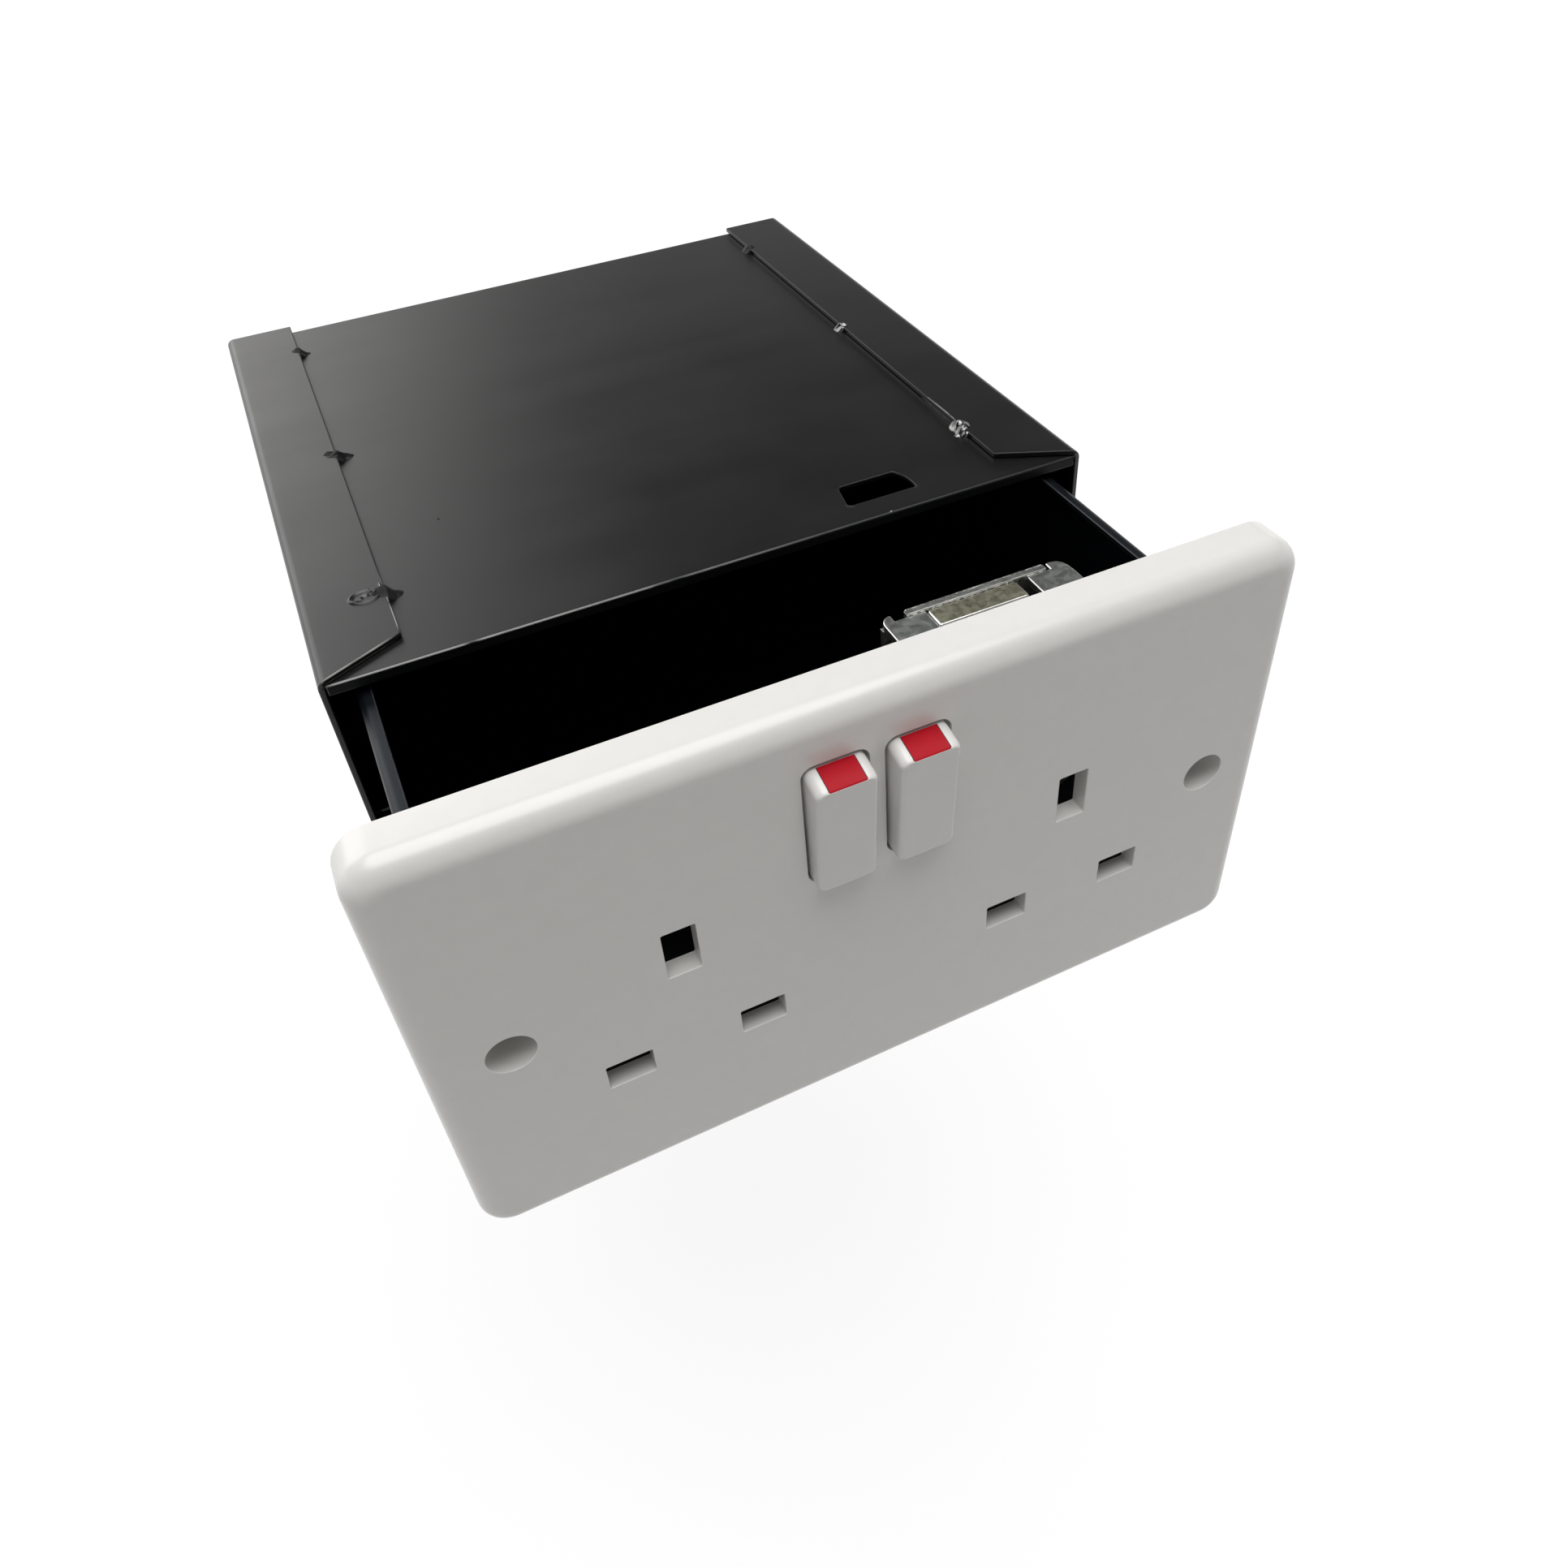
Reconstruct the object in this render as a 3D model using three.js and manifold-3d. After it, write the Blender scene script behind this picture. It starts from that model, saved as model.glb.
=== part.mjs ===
// Outlet diversion safe: a drawer of sheet steel behind a dummy double socket plate.
// It slides in a steel case that is built into a wall, and a key turned through the
// right-hand earth hole throws a bolt up into a slot in the case's top.
//
// Millimetres, +Z up. The origin is the centre of the back wall's outer face, +Y points
// into the wall and the faceplate looks along -Y. The drawer stands partly pulled out.
import * as THREE from 'three';
import { mergeVertices } from 'three/addons/utils/BufferGeometryUtils.js';
import Module from 'manifold-3d';

const wasm = await Module();
wasm.setup();

// Case
const CASE_WIDTH = 140;
const CASE_HEIGHT = 64;
const CASE_DEPTH = 140;
const CASE_SHEET = 1;
const CASE_BEND = 1.6;
const CASE_FLANGE = 14.5;
const CASE_MITRE = 6.8;
const CASE_HEM = 2;
const CASE_SIDE_FIT = 0.2;
const FIXING_HOLE_RADIUS = 3.2;
const FIXING_HOLE_INSET_X = 22;
const FIXING_HOLE_INSET_Z = 15;

// Tack welds on the seams of the two flanges
const WELD_FRONT = 18.8;
const WELD_PITCH = 53;
const WELD_ACROSS = 5.2;
const WELD_ALONG = 3.2;
const WELD_HEIGHT = 0.7;

// Slot in the top panel that takes the bolt's tongue
const SLOT_REACH_LEFT = 8.6;
const SLOT_WIDTH = 13.5;
const SLOT_LENGTH = 6.6;
const SLOT_CORNER = 0.7;
const SLOT_SLANT = 3.4;
const SLOT_BULGE = 0.6;
const SLOT_BEHIND_FRONT = 5.3;

// Guide rails between the drawer and the case's sides
const RAIL_HEIGHT = 12;
const RAIL_SHEET = 0.8;
const RAIL_BEND = 1.2;
const RAIL_LENGTH = 112;
const RAIL_BEHIND_FRONT = 16;
const RAIL_ABOVE_FLOOR = 8;

// Clearances: between fixed sheets, round fixed parts, and beside moving parts
const SEAM = 0.1;
const FIT = 0.3;
const SLIDE_FIT = 0.3;
const GUIDE_SPACE = 4;
const TRAY_HEADROOM = 1.4;
const LOCK_HEADROOM = 0.9;
const TRAY_TAIL_GAP = 3.3;
const OVERRUN = 2;

// Drawer
const PULL_AT_REST = 45.9;
const TRAY_SHEET = 1;
const TRAY_BEND = 1.4;
const TRAY_RIM = 2.5;
const STOP_TAB_HEIGHT = 2;
const STOP_TAB_WIDTH = 1;
const STOP_TAB_LENGTH = 8;
const STOP_TAB_BEHIND_FRONT = 109.1;
const FRONT_PANEL_SHEET = 1;
const PANEL_CORNER = 3;

// Faceplate
const PLATE_WIDTH = 146;
const PLATE_HEIGHT = 86;
const PLATE_DEPTH = 9;
const PLATE_WALL = 3.2;
const PLATE_RIM = 2.5;
const PLATE_ROUND = 4.7;
const PLATE_CORNER = 5.5;
const SOCKET_INSET = 36.6;
const EARTH_CENTRE_Z = 7.35;
const EARTH_WIDTH = 5.3;
const EARTH_HEIGHT = 9.7;
const PIN_CENTRE_Z = -14.9;
const PIN_SPREAD = 22.2;
const PIN_WIDTH = 7.5;
const PIN_HEIGHT = 5.3;
const PIN_DEPTH = 6.6;
const WELL_WALL = 1.2;
const RECESS_INSET = 12.7;
const RECESS_RADIUS = 4.5;
const RECESS_DEPTH = 6.5;
const BOSS_RADIUS = 3;
const BOSS_INSET_X = 14;
const BOSS_INSET_Z = 11.5;
const BOSS_BORE = 1.6;
const BOSS_BORE_DEPTH = 4.6;

// Rocker switches, shown switched on with the upper end standing out
const ROCKER_WIDTH = 9.6;
const ROCKER_HEIGHT = 22.6;
const ROCKER_PITCH = 13;
const ROCKER_PAIR_X = -1;
const ROCKER_INSET = 20.9;
const ROCKER_PROUD = 3.4;
const ROCKER_BEHIND = 2;
const ROCKER_CORNER = 2.2;
const ROCKER_ROUND = 0.8;
const ROCKER_GAP = 0.5;
const ROCKER_TILT_DEGREES = 4.25;
const ROCKER_SLOPE_DROP = 1.4;
const ROCKER_SLOPE_DEPTH = 3.1;
const PIVOT_RADIUS = 1.2;
const PIVOT_REACH = 1;
const PIVOT_FIT = 0.3;
const CHEEK_WALL = 1.6;
const CHEEK_HEIGHT = 6;
const CHEEK_DEPTH = 2.8;
const MARKER_WIDTH = 5.9;
const MARKER_THICKNESS = 0.9;
const MARKER_SKIN = 0.35;
const MARKER_GAP = 0.15;

// Lock, seen from above over the faceplate's edge
const LOCK_REACH_LEFT = 17.7;
const LOCK_REACH_RIGHT = 17.6;
const LOCK_SHEET = 1.5;
const LOCK_DEPTH = 21.8;
const LOCK_FOOT_Z = -15;
const LEFT_EAR_ROUND = 2.5;
const RIGHT_EAR_ROUND = 4;
const LEFT_EAR_WIDTH = 7.8;
const RIGHT_EAR_WIDTH = 8.1;
const LEFT_EAR_HORN = 2.1;
const RIGHT_EAR_HORN = 3.4;
const LOCK_WINDOW_FRONT = 2.8;
const HOUSING_BASE_Z = -8;
const HOUSING_DROP = 2.6;
const HOUSING_WALL = 1.2;
const HOUSING_SIDE = 7.2;
const HOUSING_FLOOR = 2.5;
const HOUSING_CORNER = 1.5;
const COVER_SHEET = 1;
const COVER_REAR_DROP = 0.65;
const COVER_LIP = 0.4;
const COVER_LEFT_GAP = 2.2;
const COVER_RIGHT_GAP = 0.9;

// Bolt, its tongue and the slot that the crank pin works in
const BOLT_WIDTH = 16;
const BOLT_LEFT_GAP = 0.6;
const BOLT_GAP = 0.6;
const BOLT_TOP_DROP = 2.5;
const BOLT_SHOULDER = 4;
const BOLT_STEM_WIDTH = 15;
const BOLT_STEM_THICKNESS = 2;
const BOLT_STEM_BASE_Z = -3;
const TONGUE_WIDTH = 8.6;
const TONGUE_SIDE_GAP = 1.3;
const TONGUE_LENGTH = 4.5;
const TONGUE_RISE = 2.9;
const BOLT_THROW = 4;

// Cam: a disc pressed on the plug's square tail, with a crank pin on its rear face
const CAM_RADIUS = 5.4;
const CAM_THICKNESS = 2.6;
const CAM_SOCKET_DEPTH = 1.4;
const CAM_PIN_RADIUS = 1.2;
const CAM_PIN_FIT = 0.35;

// Cylinder: a fixed sleeve with its nut, and the plug that turns in it
const SLEEVE_RADIUS = 6.4;
const SLEEVE_FLANGE_RADIUS = 8;
const SLEEVE_FLANGE = 0.7;
const SLEEVE_LENGTH = 13;
const SLEEVE_HOLE_FIT = 0.3;
const PLUG_RADIUS = 4.3;
const PLUG_FIT = 0.3;
const PLUG_TAIL = 4;
const PLUG_TAIL_FIT = 0.15;
const KEYWAY_WIDTH = 1.7;
const KEYWAY_HEIGHT = 6.4;
const KEYWAY_DEPTH = 9;
const NUT_THICKNESS = 3;
const NUT_ACROSS_FLATS = 16;

// Screws and rivets
const SCREW_RADIUS = 1.2;
const SCREW_HEAD_RADIUS = 2.7;
const SCREW_HEAD_HEIGHT = 1.6;
const SCREW_DRIVE_WIDTH = 0.7;
const SCREW_DRIVE_DEPTH = 0.7;
const PLATE_SCREW_REACH = 4;
const LOCK_SCREW_REACH = 1;
const LOCK_SCREW_SPREAD = 24;
const LOCK_SCREW_INSET = 3.6;
const RIVET_RADIUS = 1.1;
const RIVET_HEAD_RADIUS = 1.9;
const RIVET_HEAD_HEIGHT = 0.8;
const RIVET_REACH = 4;
const RIVET_INSET = 3.6;

// Facets
const ROUND_FACETS = 24;
const SMALL_FACETS = 14;
const NUT_SIDES = 6;
const BEND_FACETS = 4;
const EDGE_FACETS = 5;

// Heights and depths that follow from the sizes above
const CASE_FRONT_Y = -CASE_DEPTH;
const WELD_COUNT = 1 + Math.floor((CASE_DEPTH - WELD_FRONT - WELD_ALONG) / WELD_PITCH);
const CASE_TOP_Z = CASE_HEIGHT / 2;
const CASE_BASE_Z = -CASE_HEIGHT / 2;
const CASE_FLOOR_Z = CASE_BASE_Z + CASE_SHEET;
const PANEL_TOP_Z = CASE_TOP_Z - CASE_SHEET - SEAM;
const PANEL_UNDER_Z = PANEL_TOP_Z - CASE_SHEET;
const HEM_BASE_Z = PANEL_TOP_Z - CASE_HEM;
const DRAWER_Y = CASE_FRONT_Y - SLIDE_FIT - PULL_AT_REST - PLATE_DEPTH;
const FRONT_PANEL_Y = PLATE_DEPTH + FIT;
const TRAY_FRONT_Y = FRONT_PANEL_Y + FRONT_PANEL_SHEET + SEAM;
const TRAY_REAR_Y = PLATE_DEPTH + SLIDE_FIT + CASE_DEPTH - CASE_SHEET - TRAY_TAIL_GAP;
const TRAY_WIDTH = CASE_WIDTH - 2 * (CASE_SHEET + GUIDE_SPACE);
const TRAY_BASE_Z = CASE_FLOOR_Z + SLIDE_FIT;
const TRAY_TOP_Z = HEM_BASE_Z - TRAY_HEADROOM;
const TRAY_HEIGHT = TRAY_TOP_Z - TRAY_BASE_Z;
const BOSS_CENTRE_X = CASE_WIDTH / 2 - BOSS_INSET_X;
const BOSS_CENTRE_Z = CASE_HEIGHT / 2 - BOSS_INSET_Z;
const RECESS_CENTRE_X = PLATE_WIDTH / 2 - RECESS_INSET;
const ROCKER_CENTRE_Z = PLATE_HEIGHT / 2 - ROCKER_INSET;
const LOCK_TOP_Z = HEM_BASE_Z - LOCK_HEADROOM;
const LOCK_FRONT_Y = FRONT_PANEL_Y + FRONT_PANEL_SHEET + SEAM;
const LOCK_REAR_Y = LOCK_FRONT_Y + LOCK_DEPTH;
const COVER_REAR_Y = LOCK_REAR_Y - COVER_REAR_DROP;
const COVER_FRONT_Y = COVER_REAR_Y - COVER_SHEET;
const SOCKET_CENTRE_X = CASE_WIDTH / 2 - SOCKET_INSET;
const SLOT_LEFT_X = SOCKET_CENTRE_X - SLOT_REACH_LEFT;
const LOCK_LEFT_X = SOCKET_CENTRE_X - LOCK_REACH_LEFT;
const LOCK_RIGHT_X = SOCKET_CENTRE_X + LOCK_REACH_RIGHT;
const LOCK_CENTRE_X = (LOCK_LEFT_X + LOCK_RIGHT_X) / 2;
const LOCK_WIDTH = LOCK_RIGHT_X - LOCK_LEFT_X;
const HOUSING_FRONT_Y = LOCK_FRONT_Y + LOCK_SHEET + SEAM;
const HOUSING_REAR_Y = COVER_FRONT_Y - SEAM;
const HOUSING_TOP_Z = LOCK_TOP_Z - LOCK_SHEET - HOUSING_DROP;
const BOLT_LEFT_X = LOCK_LEFT_X + LEFT_EAR_WIDTH + BOLT_LEFT_GAP;
const BOLT_TOP_Z = LOCK_TOP_Z - BOLT_TOP_DROP;
const CRANK_OFFSET = BOLT_THROW / 2;
const SLEEVE_FRONT_Y = FRONT_PANEL_Y - SEAM - SLEEVE_FLANGE;
const SLEEVE_REAR_Y = SLEEVE_FRONT_Y + SLEEVE_FLANGE + SLEEVE_LENGTH;
const CAM_FRONT_Y = SLEEVE_REAR_Y + FIT;
const CAM_REAR_Y = CAM_FRONT_Y + CAM_THICKNESS;
const STEM_FRONT_Y = CAM_REAR_Y + FIT;
const STEM_REAR_Y = STEM_FRONT_Y + BOLT_STEM_THICKNESS;
const TONGUE_Y = PLATE_DEPTH + SLIDE_FIT + SLOT_BEHIND_FRONT + SLOT_LENGTH / 2;

// Materials
function paint(colour, roughness, metalness) {
  return new THREE.MeshStandardMaterial({ color: colour, roughness, metalness });
}

const blackPaint = paint(0x1d1e20, 0.45, 0.3);
const whitePlastic = paint(0xe4e4df, 0.25, 0);
const redPlastic = paint(0xbe1e2d, 0.35, 0);
const nickel = paint(0xa5a49b, 0.35, 0.9);
const oliveZinc = paint(0x8b8770, 0.5, 0.8);
const darkSteel = paint(0x3a3b3d, 0.5, 0.8);
const zincSteel = paint(0xb9bcc0, 0.4, 0.9);

// Solids: closed geometries become manifolds, which can be joined and cut
function toSolid(geometry) {
  const bare = geometry.clone();
  bare.deleteAttribute('normal');
  bare.deleteAttribute('uv');
  const merged = mergeVertices(bare);
  return new wasm.Manifold(new wasm.Mesh({
    numProp: 3,
    vertProperties: merged.attributes.position.array,
    triVerts: new Uint32Array(merged.index.array),
  }));
}

function toGeometry(solid) {
  const mesh = solid.getMesh();
  const geometry = new THREE.BufferGeometry();
  geometry.setAttribute('position', new THREE.BufferAttribute(mesh.vertProperties, 3));
  geometry.setIndex(new THREE.BufferAttribute(mesh.triVerts, 1));
  geometry.computeVertexNormals();
  return geometry;
}

function join(first, ...others) {
  return others.reduce((sum, other) => sum.add(other), first);
}

function cut(body, ...tools) {
  return tools.reduce((rest, tool) => rest.subtract(tool), body);
}

function piece(name, solid, material) {
  const mesh = new THREE.Mesh(toGeometry(solid), material);
  mesh.name = name;
  return mesh;
}

// A block between two values on each axis
function block([x0, x1], [y0, y1], [z0, z1]) {
  const geometry = new THREE.BoxGeometry(x1 - x0, y1 - y0, z1 - z0);
  geometry.translate((x0 + x1) / 2, (y0 + y1) / 2, (z0 + z1) / 2);
  return toSolid(geometry);
}

// A round rod along Y, centred at x and z
function rodAlongY(radius, [y0, y1], x, z, facets = ROUND_FACETS) {
  const geometry = new THREE.CylinderGeometry(radius, radius, y1 - y0, facets);
  geometry.translate(x, (y0 + y1) / 2, z);
  return toSolid(geometry);
}

function rodAlongX(radius, [x0, x1], y, z, facets = SMALL_FACETS) {
  const geometry = new THREE.CylinderGeometry(radius, radius, x1 - x0, facets);
  geometry.rotateZ(Math.PI / 2);
  geometry.translate((x0 + x1) / 2, y, z);
  return toSolid(geometry);
}

// Outlines: drawn in x and z and run along Y, or drawn in y and z and run along X
const ALONG_Y = new THREE.Matrix4().makeBasis(
  new THREE.Vector3(1, 0, 0), new THREE.Vector3(0, 0, 1), new THREE.Vector3(0, -1, 0));
const ALONG_X = new THREE.Matrix4().makeBasis(
  new THREE.Vector3(0, 1, 0), new THREE.Vector3(0, 0, 1), new THREE.Vector3(1, 0, 0));

function runAlongY(shape, [y0, y1], facets = BEND_FACETS) {
  const settings = { depth: y1 - y0, bevelEnabled: false, curveSegments: facets };
  const geometry = new THREE.ExtrudeGeometry(shape, settings);
  geometry.applyMatrix4(ALONG_Y);
  geometry.translate(0, y1, 0);
  return toSolid(geometry);
}

function runAlongX(shape, [x0, x1], facets = BEND_FACETS) {
  const settings = { depth: x1 - x0, bevelEnabled: false, curveSegments: facets };
  const geometry = new THREE.ExtrudeGeometry(shape, settings);
  geometry.applyMatrix4(ALONG_X);
  geometry.translate(x0, 0, 0);
  return toSolid(geometry);
}

function runAlongZ(shape, [z0, z1], facets = BEND_FACETS) {
  const settings = { depth: z1 - z0, bevelEnabled: false, curveSegments: facets };
  const geometry = new THREE.ExtrudeGeometry(shape, settings);
  geometry.translate(0, 0, z0);
  return toSolid(geometry);
}

function polygon(points) {
  return new THREE.Shape(points.map(([x, y]) => new THREE.Vector2(x, y)));
}

function roundedRectangle(width, height, corner) {
  const right = width / 2 - corner;
  const top = height / 2 - corner;
  const shape = new THREE.Shape();
  shape.absarc(right, top, corner, 0, Math.PI / 2);
  shape.absarc(-right, top, corner, Math.PI / 2, Math.PI);
  shape.absarc(-right, -top, corner, Math.PI, 1.5 * Math.PI);
  shape.absarc(right, -top, corner, 1.5 * Math.PI, 2 * Math.PI);
  return shape;
}

// Sheet folded to a channel that is open upwards, with two lips turned inwards
function foldedChannel(width, height, lip, sheet, bend) {
  const side = width / 2;
  const inside = bend - sheet;
  const turn = Math.PI / 2;
  const shape = new THREE.Shape();
  shape.moveTo(-side + lip, height);
  shape.lineTo(-side + bend, height);
  shape.absarc(-side + bend, height - bend, bend, turn, 2 * turn);
  shape.absarc(-side + bend, bend, bend, 2 * turn, 3 * turn);
  shape.absarc(side - bend, bend, bend, 3 * turn, 4 * turn);
  shape.absarc(side - bend, height - bend, bend, 0, turn);
  shape.lineTo(side - lip, height);
  shape.lineTo(side - lip, height - sheet);
  shape.absarc(side - bend, height - bend, inside, turn, 0, true);
  shape.absarc(side - bend, bend, inside, 4 * turn, 3 * turn, true);
  shape.absarc(-side + bend, bend, inside, 3 * turn, 2 * turn, true);
  shape.absarc(-side + bend, height - bend, inside, 2 * turn, turn, true);
  shape.lineTo(-side + lip, height - sheet);
  return shape;
}

// A moulding with a rounded front edge, its front at y = 0 and its back at y = depth
function pillow(width, height, corner, round, depth) {
  const inner = roundedRectangle(width - 2 * round, height - 2 * round, corner - round);
  const geometry = new THREE.ExtrudeGeometry(inner, {
    depth: depth,
    bevelThickness: round,
    bevelSize: round,
    bevelSegments: EDGE_FACETS,
    curveSegments: EDGE_FACETS,
  });
  geometry.applyMatrix4(ALONG_Y);
  geometry.translate(0, depth + round, 0);
  const rear = block([-width, width], [depth, 2 * depth + 2 * round], [-height, height]);
  return toSolid(geometry).subtract(rear);
}

// A pan head screw that runs towards -Y, its head's seat at y = seat
function panScrew(x, z, seat, tip, radius = SCREW_RADIUS) {
  const head = rodAlongY(SCREW_HEAD_RADIUS, [seat, seat + SCREW_HEAD_HEIGHT], x, z, SMALL_FACETS);
  const shank = rodAlongY(radius, [tip, seat + SCREW_HEAD_HEIGHT / 2], x, z, SMALL_FACETS);
  const rear = seat + SCREW_HEAD_HEIGHT;
  const slotY = [rear - SCREW_DRIVE_DEPTH, rear + OVERRUN];
  const long = SCREW_HEAD_RADIUS / 2;
  const narrow = SCREW_DRIVE_WIDTH / 2;
  const across = block([x - long, x + long], slotY, [z - narrow, z + narrow]);
  const upright = block([x - narrow, x + narrow], slotY, [z - long, z + long]);
  return cut(join(head, shank), across, upright);
}

// Case wrap: floor, sides and the two mitred flanges over the top
function mitreCut(side) {
  const bendLine = side * (CASE_WIDTH / 2 - CASE_BEND / 2);
  const tip = side * (CASE_WIDTH / 2 - CASE_FLANGE - OVERRUN);
  const slope = CASE_MITRE / (CASE_FLANGE - CASE_BEND / 2);
  const tipY = CASE_FRONT_Y + slope * (CASE_FLANGE - CASE_BEND / 2 + OVERRUN);
  const outline = polygon([
    [bendLine, CASE_FRONT_Y],
    [tip, tipY],
    [tip, CASE_FRONT_Y - OVERRUN],
    [bendLine, CASE_FRONT_Y - OVERRUN],
  ]);
  return runAlongZ(outline, [CASE_TOP_Z - CASE_SHEET, CASE_TOP_Z + OVERRUN]);
}

function weldBead(side, index) {
  const geometry = new THREE.SphereGeometry(1, SMALL_FACETS, SMALL_FACETS / 2);
  geometry.scale(WELD_ACROSS / 2, WELD_ALONG / 2, WELD_HEIGHT + CASE_SHEET);
  const y = CASE_FRONT_Y + WELD_FRONT + index * WELD_PITCH;
  geometry.translate(side * (CASE_WIDTH / 2 - CASE_FLANGE), y, CASE_TOP_Z - CASE_SHEET);
  const bead = toSolid(geometry);
  const reach = CASE_WIDTH;
  return cut(bead, block([-reach, reach], [-2 * reach, reach], [0, CASE_TOP_Z - CASE_SHEET]));
}

function caseWrap() {
  const shape = foldedChannel(CASE_WIDTH, CASE_HEIGHT, CASE_FLANGE, CASE_SHEET, CASE_BEND);
  const folded = runAlongY(shape, [CASE_FRONT_Y, 0]).translate([0, 0, CASE_BASE_Z]);
  let body = cut(folded, mitreCut(-1), mitreCut(1));
  for (const side of [-1, 1]) {
    for (let index = 0; index < WELD_COUNT; index += 1) {
      body = body.add(weldBead(side, index));
    }
  }
  return piece('case_wrap', body, blackPaint);
}

// Case top and back: one sheet, hemmed down along its front edge
function topBackOutline() {
  const bend = CASE_BEND;
  const inside = bend - CASE_SHEET;
  const turn = Math.PI / 2;
  const base = CASE_FLOOR_Z + SEAM;
  const shape = new THREE.Shape();
  shape.moveTo(0, base);
  shape.lineTo(0, PANEL_TOP_Z - bend);
  shape.absarc(-bend, PANEL_TOP_Z - bend, bend, 0, turn);
  shape.absarc(CASE_FRONT_Y + bend, PANEL_TOP_Z - bend, bend, turn, 2 * turn);
  shape.lineTo(CASE_FRONT_Y, HEM_BASE_Z);
  shape.lineTo(CASE_FRONT_Y + CASE_SHEET, HEM_BASE_Z);
  shape.absarc(CASE_FRONT_Y + bend, PANEL_TOP_Z - bend, inside, 2 * turn, turn, true);
  shape.absarc(-bend, PANEL_TOP_Z - bend, inside, turn, 0, true);
  shape.lineTo(-CASE_SHEET, base);
  return shape;
}

function slotCut() {
  const front = CASE_FRONT_Y + SLOT_BEHIND_FRONT;
  const rear = front + SLOT_LENGTH;
  const right = SLOT_LEFT_X + SLOT_WIDTH;
  const bulgeX = right - SLOT_SLANT / 2 + SLOT_BULGE;
  const shape = new THREE.Shape();
  shape.moveTo(SLOT_LEFT_X + SLOT_CORNER, front);
  shape.lineTo(right, front);
  shape.quadraticCurveTo(bulgeX, (front + rear) / 2 + SLOT_BULGE, right - SLOT_SLANT, rear);
  shape.lineTo(SLOT_LEFT_X, rear);
  shape.lineTo(SLOT_LEFT_X, front + SLOT_CORNER);
  return runAlongZ(shape, [PANEL_UNDER_Z - OVERRUN, PANEL_TOP_Z + OVERRUN]);
}

function caseTopBack() {
  const half = CASE_WIDTH / 2 - CASE_SHEET - CASE_SIDE_FIT;
  const base = CASE_FLOOR_Z + SEAM;
  const rounded = roundedRectangle(2 * half, PANEL_TOP_Z - base, CASE_BEND);
  const corners = runAlongY(rounded, [CASE_FRONT_Y - OVERRUN, OVERRUN])
    .translate([0, 0, (PANEL_TOP_Z + base) / 2]);
  let body = runAlongX(topBackOutline(), [-half, half]).intersect(corners).subtract(slotCut());
  const holeX = CASE_WIDTH / 2 - FIXING_HOLE_INSET_X;
  const holeZ = CASE_HEIGHT / 2 - FIXING_HOLE_INSET_Z;
  const through = [-CASE_SHEET - OVERRUN, OVERRUN];
  for (const x of [-holeX, holeX]) {
    for (const z of [-holeZ, holeZ]) {
      body = body.subtract(rodAlongY(FIXING_HOLE_RADIUS, through, x, z, SMALL_FACETS));
    }
  }
  return piece('case_top_back', body, blackPaint);
}

// Guide rails: channels fixed to the case's sides, their backs facing the drawer
function guideRail(name, side) {
  const depth = CASE_WIDTH / 2 - CASE_SHEET - SEAM - TRAY_WIDTH / 2 - SLIDE_FIT;
  const back = side * (TRAY_WIDTH / 2 + SLIDE_FIT);
  const foot = back + side * depth;
  const inner = back + side * RAIL_SHEET;
  const y = [CASE_FRONT_Y + RAIL_BEHIND_FRONT, CASE_FRONT_Y + RAIL_BEHIND_FRONT + RAIL_LENGTH];
  const base = CASE_FLOOR_Z + RAIL_ABOVE_FLOOR;
  const top = base + RAIL_HEIGHT;
  const outline = polygon([
    [foot, base],
    [back + side * RAIL_BEND, base],
    [back, base + RAIL_BEND],
    [back, top - RAIL_BEND],
    [back + side * RAIL_BEND, top],
    [foot, top],
    [foot, top - RAIL_SHEET],
    [inner + side * RAIL_SHEET, top - RAIL_SHEET],
    [inner, top - RAIL_SHEET - RAIL_BEND / 2],
    [inner, base + RAIL_SHEET + RAIL_BEND / 2],
    [inner + side * RAIL_SHEET, base + RAIL_SHEET],
    [foot, base + RAIL_SHEET],
  ]);
  return piece(name, runAlongY(outline, y), blackPaint);
}

// Drawer tray: floor, sides and folded rims, with a stop tab standing on each rim
function stopTab(side) {
  const outer = side * (TRAY_WIDTH / 2 - TRAY_RIM);
  const inner = outer + side * STOP_TAB_WIDTH;
  const front = TRAY_FRONT_Y + STOP_TAB_BEHIND_FRONT;
  const x = [Math.min(outer, inner), Math.max(outer, inner)];
  const z = [TRAY_TOP_Z - TRAY_SHEET, TRAY_TOP_Z + STOP_TAB_HEIGHT];
  return block(x, [front, front + STOP_TAB_LENGTH], z);
}

function drawerTray() {
  const shape = foldedChannel(TRAY_WIDTH, TRAY_HEIGHT, TRAY_RIM, TRAY_SHEET, TRAY_BEND);
  const body = runAlongY(shape, [TRAY_FRONT_Y, TRAY_REAR_Y]).translate([0, 0, TRAY_BASE_Z]);
  return piece('drawer_tray', join(body, stopTab(-1), stopTab(1)), blackPaint);
}

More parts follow.
